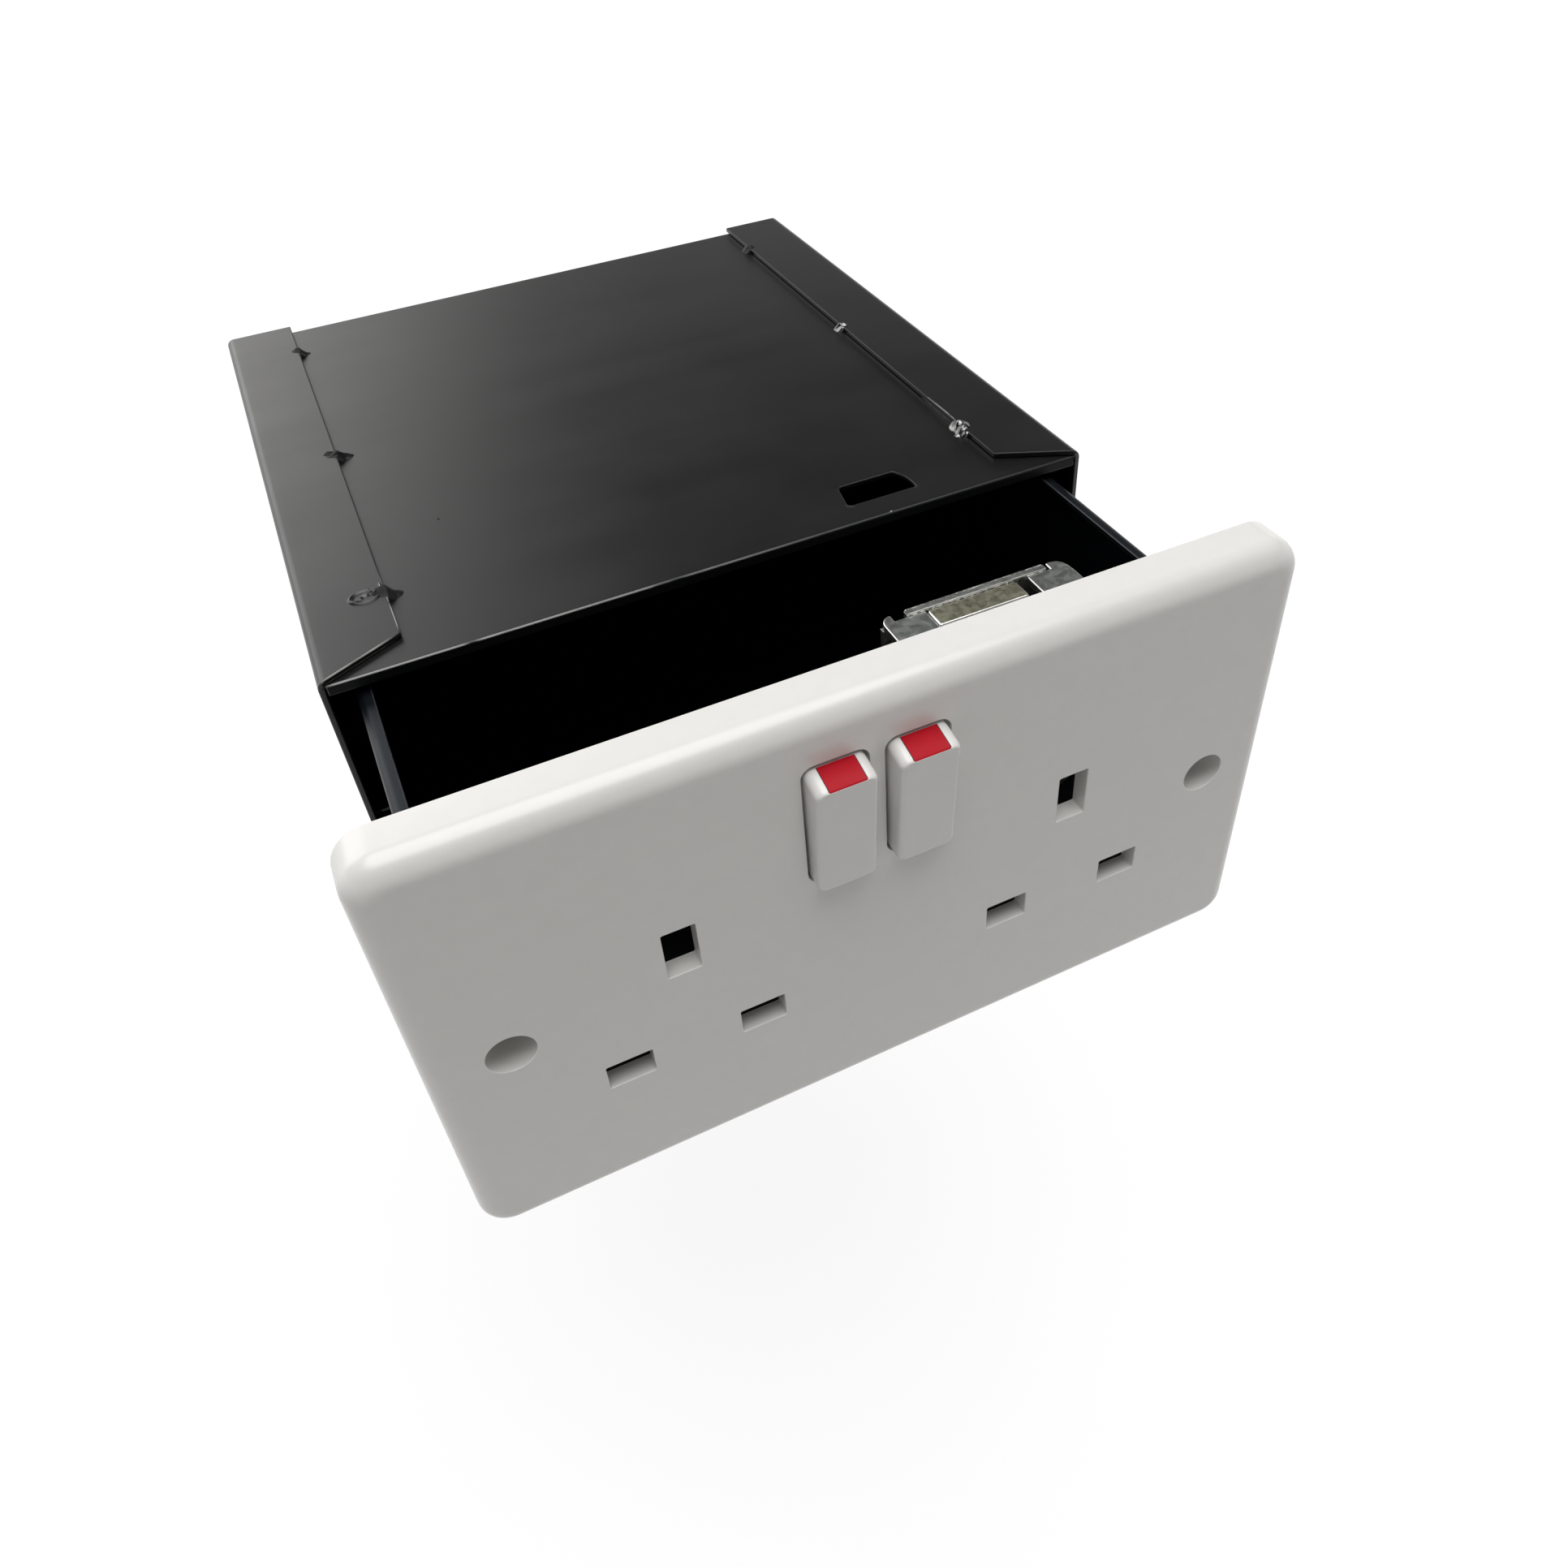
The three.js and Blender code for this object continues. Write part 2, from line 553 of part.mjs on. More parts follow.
function drawerFrontPanel() {
  const middle = (TRAY_BASE_Z + TRAY_TOP_Z) / 2;
  const y = [FRONT_PANEL_Y, FRONT_PANEL_Y + FRONT_PANEL_SHEET];
  const through = [y[0] - OVERRUN, y[1] + OVERRUN];
  const shape = roundedRectangle(TRAY_WIDTH, TRAY_HEIGHT, PANEL_CORNER);
  let body = runAlongY(shape, y).translate([0, 0, middle]);
  body = body.subtract(rodAlongY(
    SLEEVE_RADIUS + SLEEVE_HOLE_FIT, through, SOCKET_CENTRE_X, EARTH_CENTRE_Z));
  for (const [x, z] of [...plateScrewPlaces(), ...lockScrewPlaces()]) {
    body = body.subtract(rodAlongY(SCREW_RADIUS + FIT, through, x, z, SMALL_FACETS));
  }
  return piece('drawer_front_panel', body, blackPaint);
}

function drawerBackPanel() {
  const half = TRAY_WIDTH / 2 - TRAY_SHEET - SEAM;
  const x = [-half, half];
  const y = [TRAY_REAR_Y - TRAY_SHEET - SEAM, TRAY_REAR_Y - SEAM];
  const z = [TRAY_BASE_Z + TRAY_SHEET + SEAM, TRAY_TOP_Z - TRAY_SHEET - SEAM];
  const shape = roundedRectangle(x[1] - x[0], z[1] - z[0], TRAY_BEND);
  const body = runAlongY(shape, y).translate([0, 0, (z[0] + z[1]) / 2]);
  return piece('drawer_back_panel', body, blackPaint);
}

// Faceplate
function socketHole(x, z, width, height, depth) {
  const xs = [x - width / 2, x + width / 2];
  const zs = [z - height / 2, z + height / 2];
  return block(xs, [-OVERRUN, depth], zs);
}

function pinPlaces() {
  const spread = PIN_SPREAD / 2;
  return [-SOCKET_CENTRE_X, SOCKET_CENTRE_X].flatMap((x) => [x - spread, x + spread]);
}

function plateScrewPlaces() {
  return [-BOSS_CENTRE_X, BOSS_CENTRE_X].flatMap(
    (x) => [-BOSS_CENTRE_Z, BOSS_CENTRE_Z].map((z) => [x, z]));
}

function plateWells() {
  const inside = PLATE_WALL / 2;
  const wells = pinPlaces().map((x) => block(
    [x - PIN_WIDTH / 2 - WELL_WALL, x + PIN_WIDTH / 2 + WELL_WALL],
    [inside, PIN_DEPTH + WELL_WALL],
    [PIN_CENTRE_Z - PIN_HEIGHT / 2 - WELL_WALL, PIN_CENTRE_Z + PIN_HEIGHT / 2 + WELL_WALL]));
  const cupRadius = RECESS_RADIUS + WELL_WALL;
  const cups = [-RECESS_CENTRE_X, RECESS_CENTRE_X].map(
    (x) => rodAlongY(cupRadius, [inside, RECESS_DEPTH + WELL_WALL], x, 0));
  const bosses = plateScrewPlaces().map(
    ([x, z]) => rodAlongY(BOSS_RADIUS, [inside, PLATE_DEPTH], x, z, SMALL_FACETS));
  return [...wells, ...cups, ...bosses];
}

// Cheeks behind the plate that carry the rockers' pivots
function rockerCheeks() {
  const outer = ROCKER_PITCH / 2 + ROCKER_WIDTH / 2 + ROCKER_GAP;
  const inner = ROCKER_PITCH / 2 - ROCKER_WIDTH / 2 - ROCKER_GAP;
  const y = [PLATE_WALL / 2, PLATE_WALL + CHEEK_DEPTH];
  const z = [ROCKER_CENTRE_Z - CHEEK_HEIGHT / 2, ROCKER_CENTRE_Z + CHEEK_HEIGHT / 2];
  return [
    block([ROCKER_PAIR_X - outer - CHEEK_WALL, ROCKER_PAIR_X - outer], y, z),
    block([ROCKER_PAIR_X - inner, ROCKER_PAIR_X + inner], y, z),
    block([ROCKER_PAIR_X + outer, ROCKER_PAIR_X + outer + CHEEK_WALL], y, z),
  ];
}

function plateCuts() {
  const cuts = pinPlaces().map(
    (x) => socketHole(x, PIN_CENTRE_Z, PIN_WIDTH, PIN_HEIGHT, PIN_DEPTH));
  const opening = roundedRectangle(
    ROCKER_WIDTH + 2 * ROCKER_GAP, ROCKER_HEIGHT + 2 * ROCKER_GAP, ROCKER_CORNER + ROCKER_GAP);
  for (const side of [-1, 1]) {
    const x = side * SOCKET_CENTRE_X;
    cuts.push(socketHole(x, EARTH_CENTRE_Z, EARTH_WIDTH, EARTH_HEIGHT, PLATE_DEPTH));
    cuts.push(rodAlongY(RECESS_RADIUS, [-OVERRUN, RECESS_DEPTH], side * RECESS_CENTRE_X, 0));
    cuts.push(runAlongY(opening, [-OVERRUN, PLATE_WALL + CHEEK_DEPTH + OVERRUN], EDGE_FACETS)
      .translate([ROCKER_PAIR_X + side * ROCKER_PITCH / 2, 0, ROCKER_CENTRE_Z]));
  }
  for (const [x, z] of plateScrewPlaces()) {
    const bore = [PLATE_DEPTH - BOSS_BORE_DEPTH, PLATE_DEPTH + OVERRUN];
    cuts.push(rodAlongY(BOSS_BORE, bore, x, z, SMALL_FACETS));
  }
  const reach = ROCKER_PITCH / 2 + ROCKER_WIDTH / 2 + ROCKER_GAP + CHEEK_WALL;
  const bearing = [ROCKER_PAIR_X - reach, ROCKER_PAIR_X + reach];
  cuts.push(rodAlongX(PIVOT_RADIUS + PIVOT_FIT, bearing, PLATE_WALL, ROCKER_CENTRE_Z));
  return cuts;
}

function faceplate() {
  const shell = pillow(PLATE_WIDTH, PLATE_HEIGHT, PLATE_CORNER, PLATE_ROUND, PLATE_DEPTH);
  const cavity = roundedRectangle(
    PLATE_WIDTH - 2 * PLATE_RIM, PLATE_HEIGHT - 2 * PLATE_RIM, PLATE_CORNER - PLATE_RIM);
  const hollow = runAlongY(cavity, [PLATE_WALL, PLATE_DEPTH + OVERRUN]);
  const body = join(cut(shell, hollow), ...plateWells(), ...rockerCheeks());
  return piece('faceplate', cut(body, ...plateCuts()), whitePlastic);
}

function faceplateScrews() {
  const seat = FRONT_PANEL_Y + FRONT_PANEL_SHEET + SEAM;
  const tip = FRONT_PANEL_Y - PLATE_SCREW_REACH;
  return plateScrewPlaces().map(([x, z], index) => piece(
    `faceplate_screw_${index + 1}`, panScrew(x, z, seat, tip), zincSteel));
}

// Rocker: drawn about its pivot, which lies level with the back of the plate's wall
function rockerSlope() {
  const front = -PLATE_WALL - ROCKER_PROUD;
  const top = ROCKER_HEIGHT / 2;
  const outline = polygon([
    [front - OVERRUN, top - ROCKER_SLOPE_DROP],
    [front, top - ROCKER_SLOPE_DROP],
    [front + ROCKER_SLOPE_DEPTH, top],
    [front + ROCKER_SLOPE_DEPTH, top + OVERRUN],
    [front - OVERRUN, top + OVERRUN],
  ]);
  return runAlongX(outline, [-ROCKER_WIDTH, ROCKER_WIDTH]);
}

function markerBlock(gap) {
  const half = MARKER_WIDTH / 2 + gap;
  const front = -PLATE_WALL - ROCKER_PROUD + MARKER_SKIN - gap;
  const rear = -PLATE_WALL / 2 + gap;
  const top = ROCKER_HEIGHT / 2;
  const base = top - ROCKER_SLOPE_DROP - MARKER_THICKNESS - gap;
  return block([-half, half], [front, rear], [base, top + gap]);
}

function rockerPieces(name, side) {
  const depth = PLATE_WALL + ROCKER_PROUD + ROCKER_BEHIND;
  const shell = pillow(ROCKER_WIDTH, ROCKER_HEIGHT, ROCKER_CORNER, ROCKER_ROUND, depth)
    .translate([0, -PLATE_WALL - ROCKER_PROUD, 0]);
  const reach = ROCKER_WIDTH / 2 + PIVOT_REACH;
  const pivot = rodAlongX(PIVOT_RADIUS, [-reach, reach], 0, 0);
  const body = join(cut(shell, rockerSlope(), markerBlock(MARKER_GAP)), pivot);
  const marker = cut(markerBlock(0), rockerSlope());
  const group = new THREE.Group();
  group.add(piece(name, body, whitePlastic));
  group.add(piece(`${name}_marker`, marker, redPlastic));
  group.position.set(ROCKER_PAIR_X + side * ROCKER_PITCH / 2, PLATE_WALL, ROCKER_CENTRE_Z);
  group.rotation.x = THREE.MathUtils.degToRad(ROCKER_TILT_DEGREES);
  return group;
}

// Lock top plate: an angle whose top carries two ears round a window for the bolt
function lockTopOutline() {
  const rear = COVER_FRONT_Y - SEAM;
  const windowFront = LOCK_FRONT_Y + LOCK_WINDOW_FRONT;
  const turn = Math.PI / 2;
  const rightHorn = LOCK_RIGHT_X - RIGHT_EAR_HORN;
  const leftHorn = LOCK_LEFT_X + LEFT_EAR_HORN;
  const rightRound = RIGHT_EAR_ROUND / 2;
  const shape = new THREE.Shape();
  shape.moveTo(LOCK_LEFT_X, LOCK_FRONT_Y);
  shape.lineTo(LOCK_RIGHT_X, LOCK_FRONT_Y);
  shape.lineTo(LOCK_RIGHT_X, LOCK_REAR_Y - RIGHT_EAR_ROUND);
  shape.quadraticCurveTo(LOCK_RIGHT_X, LOCK_REAR_Y, rightHorn + rightRound / 2, LOCK_REAR_Y);
  shape.lineTo(rightHorn, LOCK_REAR_Y);
  shape.lineTo(rightHorn, rear);
  shape.lineTo(LOCK_RIGHT_X - RIGHT_EAR_WIDTH, rear);
  shape.lineTo(LOCK_RIGHT_X - RIGHT_EAR_WIDTH, windowFront);
  shape.lineTo(LOCK_LEFT_X + LEFT_EAR_WIDTH, windowFront);
  shape.lineTo(LOCK_LEFT_X + LEFT_EAR_WIDTH, rear);
  shape.lineTo(leftHorn, rear);
  shape.lineTo(leftHorn, LOCK_REAR_Y);
  const leftRound = Math.min(LEFT_EAR_ROUND, LEFT_EAR_HORN);
  shape.absarc(LOCK_LEFT_X + leftRound, LOCK_REAR_Y - leftRound, leftRound, turn, 2 * turn);
  return shape;
}

function lockScrewPlaces() {
  const half = LOCK_SCREW_SPREAD / 2;
  const z = LOCK_FOOT_Z + LOCK_SCREW_INSET;
  return [[SOCKET_CENTRE_X - half, z], [SOCKET_CENTRE_X + half, z]];
}

function sleeveHole(y) {
  return rodAlongY(SLEEVE_RADIUS + SLEEVE_HOLE_FIT, y, SOCKET_CENTRE_X, EARTH_CENTRE_Z);
}

function lockTopPlate() {
  const top = runAlongZ(lockTopOutline(), [LOCK_TOP_Z - LOCK_SHEET, LOCK_TOP_Z]);
  const y = [LOCK_FRONT_Y, LOCK_FRONT_Y + LOCK_SHEET];
  const upright = block(
    [LOCK_LEFT_X, LOCK_RIGHT_X], y, [LOCK_FOOT_Z, LOCK_TOP_Z - LOCK_SHEET / 2]);
  const through = [y[0] - OVERRUN, y[1] + OVERRUN];
  const screwHoles = lockScrewPlaces().map(
    ([x, z]) => rodAlongY(SCREW_RADIUS + FIT, through, x, z, SMALL_FACETS));
  return piece('lock_top_plate', cut(join(top, upright), sleeveHole(through), ...screwHoles), nickel);
}

// Lock housing: a casting with a channel for the bolt, open upwards and to the rear
function lockHousing() {
  const depth = HOUSING_REAR_Y - HOUSING_FRONT_Y;
  const body = runAlongZ(
    roundedRectangle(LOCK_WIDTH, depth, HOUSING_CORNER), [HOUSING_BASE_Z, HOUSING_TOP_Z])
    .translate([LOCK_CENTRE_X, HOUSING_FRONT_Y + depth / 2, 0]);
  const channel = block(
    [LOCK_LEFT_X + HOUSING_SIDE, LOCK_RIGHT_X - HOUSING_SIDE],
    [HOUSING_FRONT_Y + HOUSING_WALL, HOUSING_REAR_Y + OVERRUN],
    [HOUSING_BASE_Z + HOUSING_FLOOR, HOUSING_TOP_Z + OVERRUN]);
  const front = sleeveHole([HOUSING_FRONT_Y - OVERRUN, HOUSING_FRONT_Y + HOUSING_WALL + OVERRUN]);
  const boreY = [HOUSING_REAR_Y - RIVET_REACH, HOUSING_REAR_Y + OVERRUN];
  const bores = rivetPlaces().map(
    ([x, z]) => rodAlongY(RIVET_RADIUS + FIT, boreY, x, z, SMALL_FACETS));
  return piece('lock_housing', cut(body, channel, front, ...bores), nickel);
}

function rivetPlaces() {
  const xs = [LOCK_LEFT_X + RIVET_INSET, LOCK_RIGHT_X - RIVET_INSET];
  const zs = [HOUSING_BASE_Z + RIVET_INSET, HOUSING_TOP_Z - RIVET_INSET];
  return xs.flatMap((x) => zs.map((z) => [x, z]));
}

// Back cover: its lip shows between the horns of the top plate's ears
function lockBackCover() {
  const y = [COVER_FRONT_Y, COVER_REAR_Y];
  const plate = block(
    [LOCK_LEFT_X, LOCK_RIGHT_X], y, [HOUSING_BASE_Z, LOCK_TOP_Z - LOCK_SHEET - SEAM]);
  const lipLeft = LOCK_LEFT_X + LEFT_EAR_HORN + COVER_LEFT_GAP;
  const lipRight = LOCK_RIGHT_X - RIGHT_EAR_HORN - COVER_RIGHT_GAP;
  const lip = block([lipLeft, lipRight], y, [HOUSING_TOP_Z, LOCK_TOP_Z + COVER_LIP]);
  const boreY = [y[0] - OVERRUN, y[1] + OVERRUN];
  const bores = rivetPlaces().map(
    ([x, z]) => rodAlongY(RIVET_RADIUS + FIT, boreY, x, z, SMALL_FACETS));
  return piece('lock_back_cover', cut(join(plate, lip), ...bores), nickel);
}

function coverRivets() {
  const seat = COVER_REAR_Y + SEAM;
  return rivetPlaces().map(([x, z], index) => {
    const head = new THREE.SphereGeometry(1, SMALL_FACETS, SMALL_FACETS / 2);
    head.scale(RIVET_HEAD_RADIUS, RIVET_HEAD_HEIGHT, RIVET_HEAD_RADIUS);
    head.translate(x, seat, z);
    const reach = RIVET_HEAD_RADIUS + OVERRUN;
    const ahead = block([x - reach, x + reach], [seat - reach, seat], [z - reach, z + reach]);
    const tip = HOUSING_REAR_Y - RIVET_REACH + FIT;
    const shank = rodAlongY(RIVET_RADIUS, [tip, seat + RIVET_HEAD_HEIGHT / 2], x, z, SMALL_FACETS);
    return piece(`lock_cover_rivet_${index + 1}`, join(cut(toSolid(head), ahead), shank), nickel);
  });
}

// Bolt: shoulder, tongue, and a stem with the slot that the crank pin works in
function lockBolt() {
  const shoulder = block(
    [BOLT_LEFT_X, BOLT_LEFT_X + BOLT_WIDTH],
    [HOUSING_FRONT_Y + HOUSING_WALL + BOLT_GAP, COVER_FRONT_Y - BOLT_GAP],
    [BOLT_TOP_Z - BOLT_SHOULDER, BOLT_TOP_Z]);
  const tongueLeft = SLOT_LEFT_X + TONGUE_SIDE_GAP;
  const tongue = block(
    [tongueLeft, tongueLeft + TONGUE_WIDTH],
    [TONGUE_Y - TONGUE_LENGTH / 2, TONGUE_Y + TONGUE_LENGTH / 2],
    [BOLT_TOP_Z - BOLT_SHOULDER, BOLT_TOP_Z + TONGUE_RISE]);
  const stem = block(
    [SOCKET_CENTRE_X - BOLT_STEM_WIDTH / 2, SOCKET_CENTRE_X + BOLT_STEM_WIDTH / 2],
    [STEM_FRONT_Y, STEM_REAR_Y],
    [BOLT_STEM_BASE_Z, BOLT_TOP_Z - BOLT_SHOULDER / 2]);
  const pinZ = EARTH_CENTRE_Z - CRANK_OFFSET;
  const reach = CAM_PIN_RADIUS + CAM_PIN_FIT;
  const slot = block(
    [SOCKET_CENTRE_X, SOCKET_CENTRE_X + CRANK_OFFSET * Math.SQRT2 + reach],
    [STEM_FRONT_Y - OVERRUN, STEM_REAR_Y + OVERRUN],
    [pinZ - reach, pinZ + reach]);
  return piece('lock_bolt', cut(join(shoulder, tongue, stem), slot), oliveZinc);
}

// Sleeve, nut and plug on the axis of the right-hand earth hole
function lockSleeve() {
  const x = SOCKET_CENTRE_X;
  const z = EARTH_CENTRE_Z;
  const flangeY = [SLEEVE_FRONT_Y, SLEEVE_FRONT_Y + SLEEVE_FLANGE];
  const flange = rodAlongY(SLEEVE_FLANGE_RADIUS, flangeY, x, z);
  const barrel = rodAlongY(SLEEVE_RADIUS, [SLEEVE_FRONT_Y, SLEEVE_REAR_Y], x, z);
  const boreY = [SLEEVE_FRONT_Y - OVERRUN, SLEEVE_REAR_Y + OVERRUN];
  const bore = rodAlongY(PLUG_RADIUS + PLUG_FIT, boreY, x, z);
  return piece('lock_sleeve', cut(join(flange, barrel), bore), darkSteel);
}

function lockNut() {
  const front = HOUSING_FRONT_Y + HOUSING_WALL + SEAM;
  const y = [front, front + NUT_THICKNESS];
  const corner = NUT_ACROSS_FLATS / Math.sqrt(3);
  const hex = rodAlongY(corner, y, SOCKET_CENTRE_X, EARTH_CENTRE_Z, NUT_SIDES);
  return piece('lock_nut', cut(hex, sleeveHole([y[0] - OVERRUN, y[1] + OVERRUN])), zincSteel);
}

function squareTail(half, y) {
  const x = SOCKET_CENTRE_X;
  const z = EARTH_CENTRE_Z;
  return block([x - half, x + half], y, [z - half, z + half]);
}

function lockPlug() {
  const x = SOCKET_CENTRE_X;
  const z = EARTH_CENTRE_Z;
  const barrel = rodAlongY(PLUG_RADIUS, [SLEEVE_FRONT_Y, SLEEVE_REAR_Y], x, z);
  const tailEnd = CAM_FRONT_Y + CAM_SOCKET_DEPTH - PLUG_TAIL_FIT;
  const tail = squareTail(PLUG_TAIL / 2, [SLEEVE_REAR_Y - OVERRUN, tailEnd]);
  const keyway = block(
    [x - KEYWAY_WIDTH / 2, x + KEYWAY_WIDTH / 2],
    [SLEEVE_FRONT_Y - OVERRUN, SLEEVE_FRONT_Y + KEYWAY_DEPTH],
    [z - KEYWAY_HEIGHT / 2, z + KEYWAY_HEIGHT / 2]);
  return piece('lock_plug', cut(join(barrel, tail), keyway), darkSteel);
}

// Cam: its crank pin stands at the lower right of the axis when unlocked
function lockCam() {
  const disc = rodAlongY(
    CAM_RADIUS, [CAM_FRONT_Y, CAM_REAR_Y], SOCKET_CENTRE_X, EARTH_CENTRE_Z);
  const socket = squareTail(
    PLUG_TAIL / 2 + PLUG_TAIL_FIT, [CAM_FRONT_Y - OVERRUN, CAM_FRONT_Y + CAM_SOCKET_DEPTH]);
  const pinY = [CAM_REAR_Y - CAM_PIN_RADIUS / 2, STEM_REAR_Y];
  const pin = rodAlongY(
    CAM_PIN_RADIUS, pinY, SOCKET_CENTRE_X + CRANK_OFFSET, EARTH_CENTRE_Z - CRANK_OFFSET, SMALL_FACETS);
  return piece('lock_cam', join(cut(disc, socket), pin), zincSteel);
}

function lockFixingScrews() {
  const seat = LOCK_FRONT_Y + LOCK_SHEET + SEAM;
  const tip = FRONT_PANEL_Y - LOCK_SCREW_REACH;
  const names = ['lock_fixing_screw_left', 'lock_fixing_screw_right'];
  return lockScrewPlaces().map(
    ([x, z], index) => piece(names[index], panScrew(x, z, seat, tip), zincSteel));
}

// The whole safe
function caseGroup() {
  const group = new THREE.Group();
  group.add(caseWrap(), caseTopBack());
  group.add(guideRail('guide_rail_left', -1), guideRail('guide_rail_right', 1));
  return group;
}

function drawerGroup() {
  const group = new THREE.Group();
  group.add(drawerTray(), drawerFrontPanel(), drawerBackPanel());
  group.add(faceplate(), ...faceplateScrews());
  group.add(rockerPieces('rocker_left', -1), rockerPieces('rocker_right', 1));
  group.add(lockTopPlate(), lockHousing(), lockBackCover(), ...coverRivets());
  group.add(lockBolt(), lockSleeve(), lockNut(), lockPlug(), lockCam(), ...lockFixingScrews());
  group.position.y = DRAWER_Y;
  return group;
}

const safe = new THREE.Group();
safe.add(caseGroup(), drawerGroup());

export default safe;
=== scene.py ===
import math

import bmesh
import bpy
from mathutils import Matrix, Vector, geometry


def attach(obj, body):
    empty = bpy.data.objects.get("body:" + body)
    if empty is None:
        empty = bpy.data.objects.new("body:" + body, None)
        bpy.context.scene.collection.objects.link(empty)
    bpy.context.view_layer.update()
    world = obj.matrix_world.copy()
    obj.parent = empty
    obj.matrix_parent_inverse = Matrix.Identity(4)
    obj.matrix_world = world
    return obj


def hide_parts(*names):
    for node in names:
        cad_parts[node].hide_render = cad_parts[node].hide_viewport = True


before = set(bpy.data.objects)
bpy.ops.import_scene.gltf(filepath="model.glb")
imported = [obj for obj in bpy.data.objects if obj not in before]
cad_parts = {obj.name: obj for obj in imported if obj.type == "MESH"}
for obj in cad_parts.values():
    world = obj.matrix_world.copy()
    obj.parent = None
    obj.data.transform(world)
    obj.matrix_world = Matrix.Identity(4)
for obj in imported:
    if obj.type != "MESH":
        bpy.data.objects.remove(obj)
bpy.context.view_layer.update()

# Lengths are in millimetres in the part's frame: origin in the middle of the back wall's outer
# face, +X right, +Y into the wall and +Z up
MM = 0.001
SHEET = 1.0                    # thickness of the steel sheet
BEND_PARTS = 8                 # faces round a bend
CASE_FRONT = -140.0
PLATE_Y = -195.2               # the faceplate's front, which the drawer's pieces are measured from
PLATE_WALL = 3.2               # thickness of the faceplate's front wall
TRAY_FRONT = PLATE_Y + 10.4
TRAY_REAR = PLATE_Y + 145.0
ROCKER_X = {"left": -7.5, "right": 5.5}
MAIN, EDGE, THIRD = 0, 1, 2    # places in a piece's list of materials
FROM_FRONT, FROM_ABOVE = (0, 2), (0, 1)


# Materials: node trees of noise, bump and roughness, in object coordinates, which are in metres
def with_alpha(colour):
    """A colour as a socket takes it; anything else, such as a socket, is passed on."""
    return (*colour, 1.0) if isinstance(colour, tuple) else colour


def dimmed(colour, share):
    return tuple(v * share for v in colour)


class Tree:
    """A material's node tree, with short names for the nodes that are used here."""

    def __init__(self, name):
        self.material = bpy.data.materials.new(name)
        self.material.use_nodes = True
        self.nodes = self.material.node_tree.nodes
        self.links = self.material.node_tree.links
        self.shader = self.nodes["Principled BSDF"]
        self.place = self.nodes.new("ShaderNodeTexCoord").outputs["Object"]

    def link(self, value, socket):
        """Links an input to an output, or sets it to a constant."""
        if isinstance(value, bpy.types.NodeSocket):
            self.links.new(value, socket)
        else:
            socket.default_value = value

    def noise(self, scale, detail=2.0, roughness=0.5, distortion=0.0, stretch=None):
        place = self.place
        if stretch is not None:
            mapping = self.nodes.new("ShaderNodeMapping")
            mapping.inputs["Scale"].default_value = stretch
            self.links.new(place, mapping.inputs["Vector"])
            place = mapping.outputs["Vector"]
        node = self.nodes.new("ShaderNodeTexNoise")
        self.links.new(place, node.inputs["Vector"])
        node.inputs["Scale"].default_value = scale
        node.inputs["Detail"].default_value = detail
        node.inputs["Roughness"].default_value = roughness
        node.inputs["Distortion"].default_value = distortion
        return node.outputs["Fac"]

    def span(self, value, low, high, to_low=0.0, to_high=1.0):
        """A smooth step from to_low to to_high, as the value goes from low to high."""
        node = self.nodes.new("ShaderNodeMapRange")
        node.interpolation_type = "SMOOTHSTEP"
        self.link(value, node.inputs["Value"])
        node.inputs["From Min"].default_value = low
        node.inputs["From Max"].default_value = high
        node.inputs["To Min"].default_value = to_low
        node.inputs["To Max"].default_value = to_high
        return node.outputs["Result"]

    def falling(self, value, low, high):
        return self.span(value, low, high, 1.0, 0.0)

    def window(self, value, rise, fall):
        """1 between a rise and a fall, and 0 outside them."""
        return self.times(self.span(value, *rise), self.falling(value, *fall))

    def combined(self, operation, first, second):
        node = self.nodes.new("ShaderNodeMath")
        node.operation = operation
        self.link(first, node.inputs[0])
        self.link(second, node.inputs[1])
        return node.outputs["Value"]

    def plus(self, first, second):
        return self.combined("ADD", first, second)

    def times(self, first, second):
        return self.combined("MULTIPLY", first, second)

    def larger(self, first, second):
        return self.combined("MAXIMUM", first, second)

    def mix(self, amount, first, second):
        node = self.nodes.new("ShaderNodeMix")
        node.data_type = "RGBA"
        self.link(amount, node.inputs["Factor"])
        self.link(with_alpha(first), node.inputs["A"])
        self.link(with_alpha(second), node.inputs["B"])
        return node.outputs["Result"]

    def axis(self, index):
        node = self.nodes.new("ShaderNodeSeparateXYZ")
        self.links.new(self.place, node.inputs["Vector"])
        return node.outputs[index]

    def bump(self, *layers):
        """Layers of (height, depth in metres), laid on one another."""
        normal = None
        for height, depth in layers:
            node = self.nodes.new("ShaderNodeBump")
            node.inputs["Strength"].default_value = 1.0
            node.inputs["Distance"].default_value = depth
            self.links.new(height, node.inputs["Height"])
            if normal is not None:
                self.links.new(normal, node.inputs["Normal"])
            normal = node.outputs["Normal"]
        self.links.new(normal, self.shader.inputs["Normal"])

    def finish(self, colour, roughness, metallic=0.0, **constants):
        """Feeds the shader; constants name its other inputs, with _ for each space."""
        self.link(with_alpha(colour), self.shader.inputs["Base Color"])
        self.link(roughness, self.shader.inputs["Roughness"])
        self.shader.inputs["Metallic"].default_value = metallic
        for key, value in constants.items():
            self.shader.inputs[key.replace("_", " ")].default_value = value
        return self.material


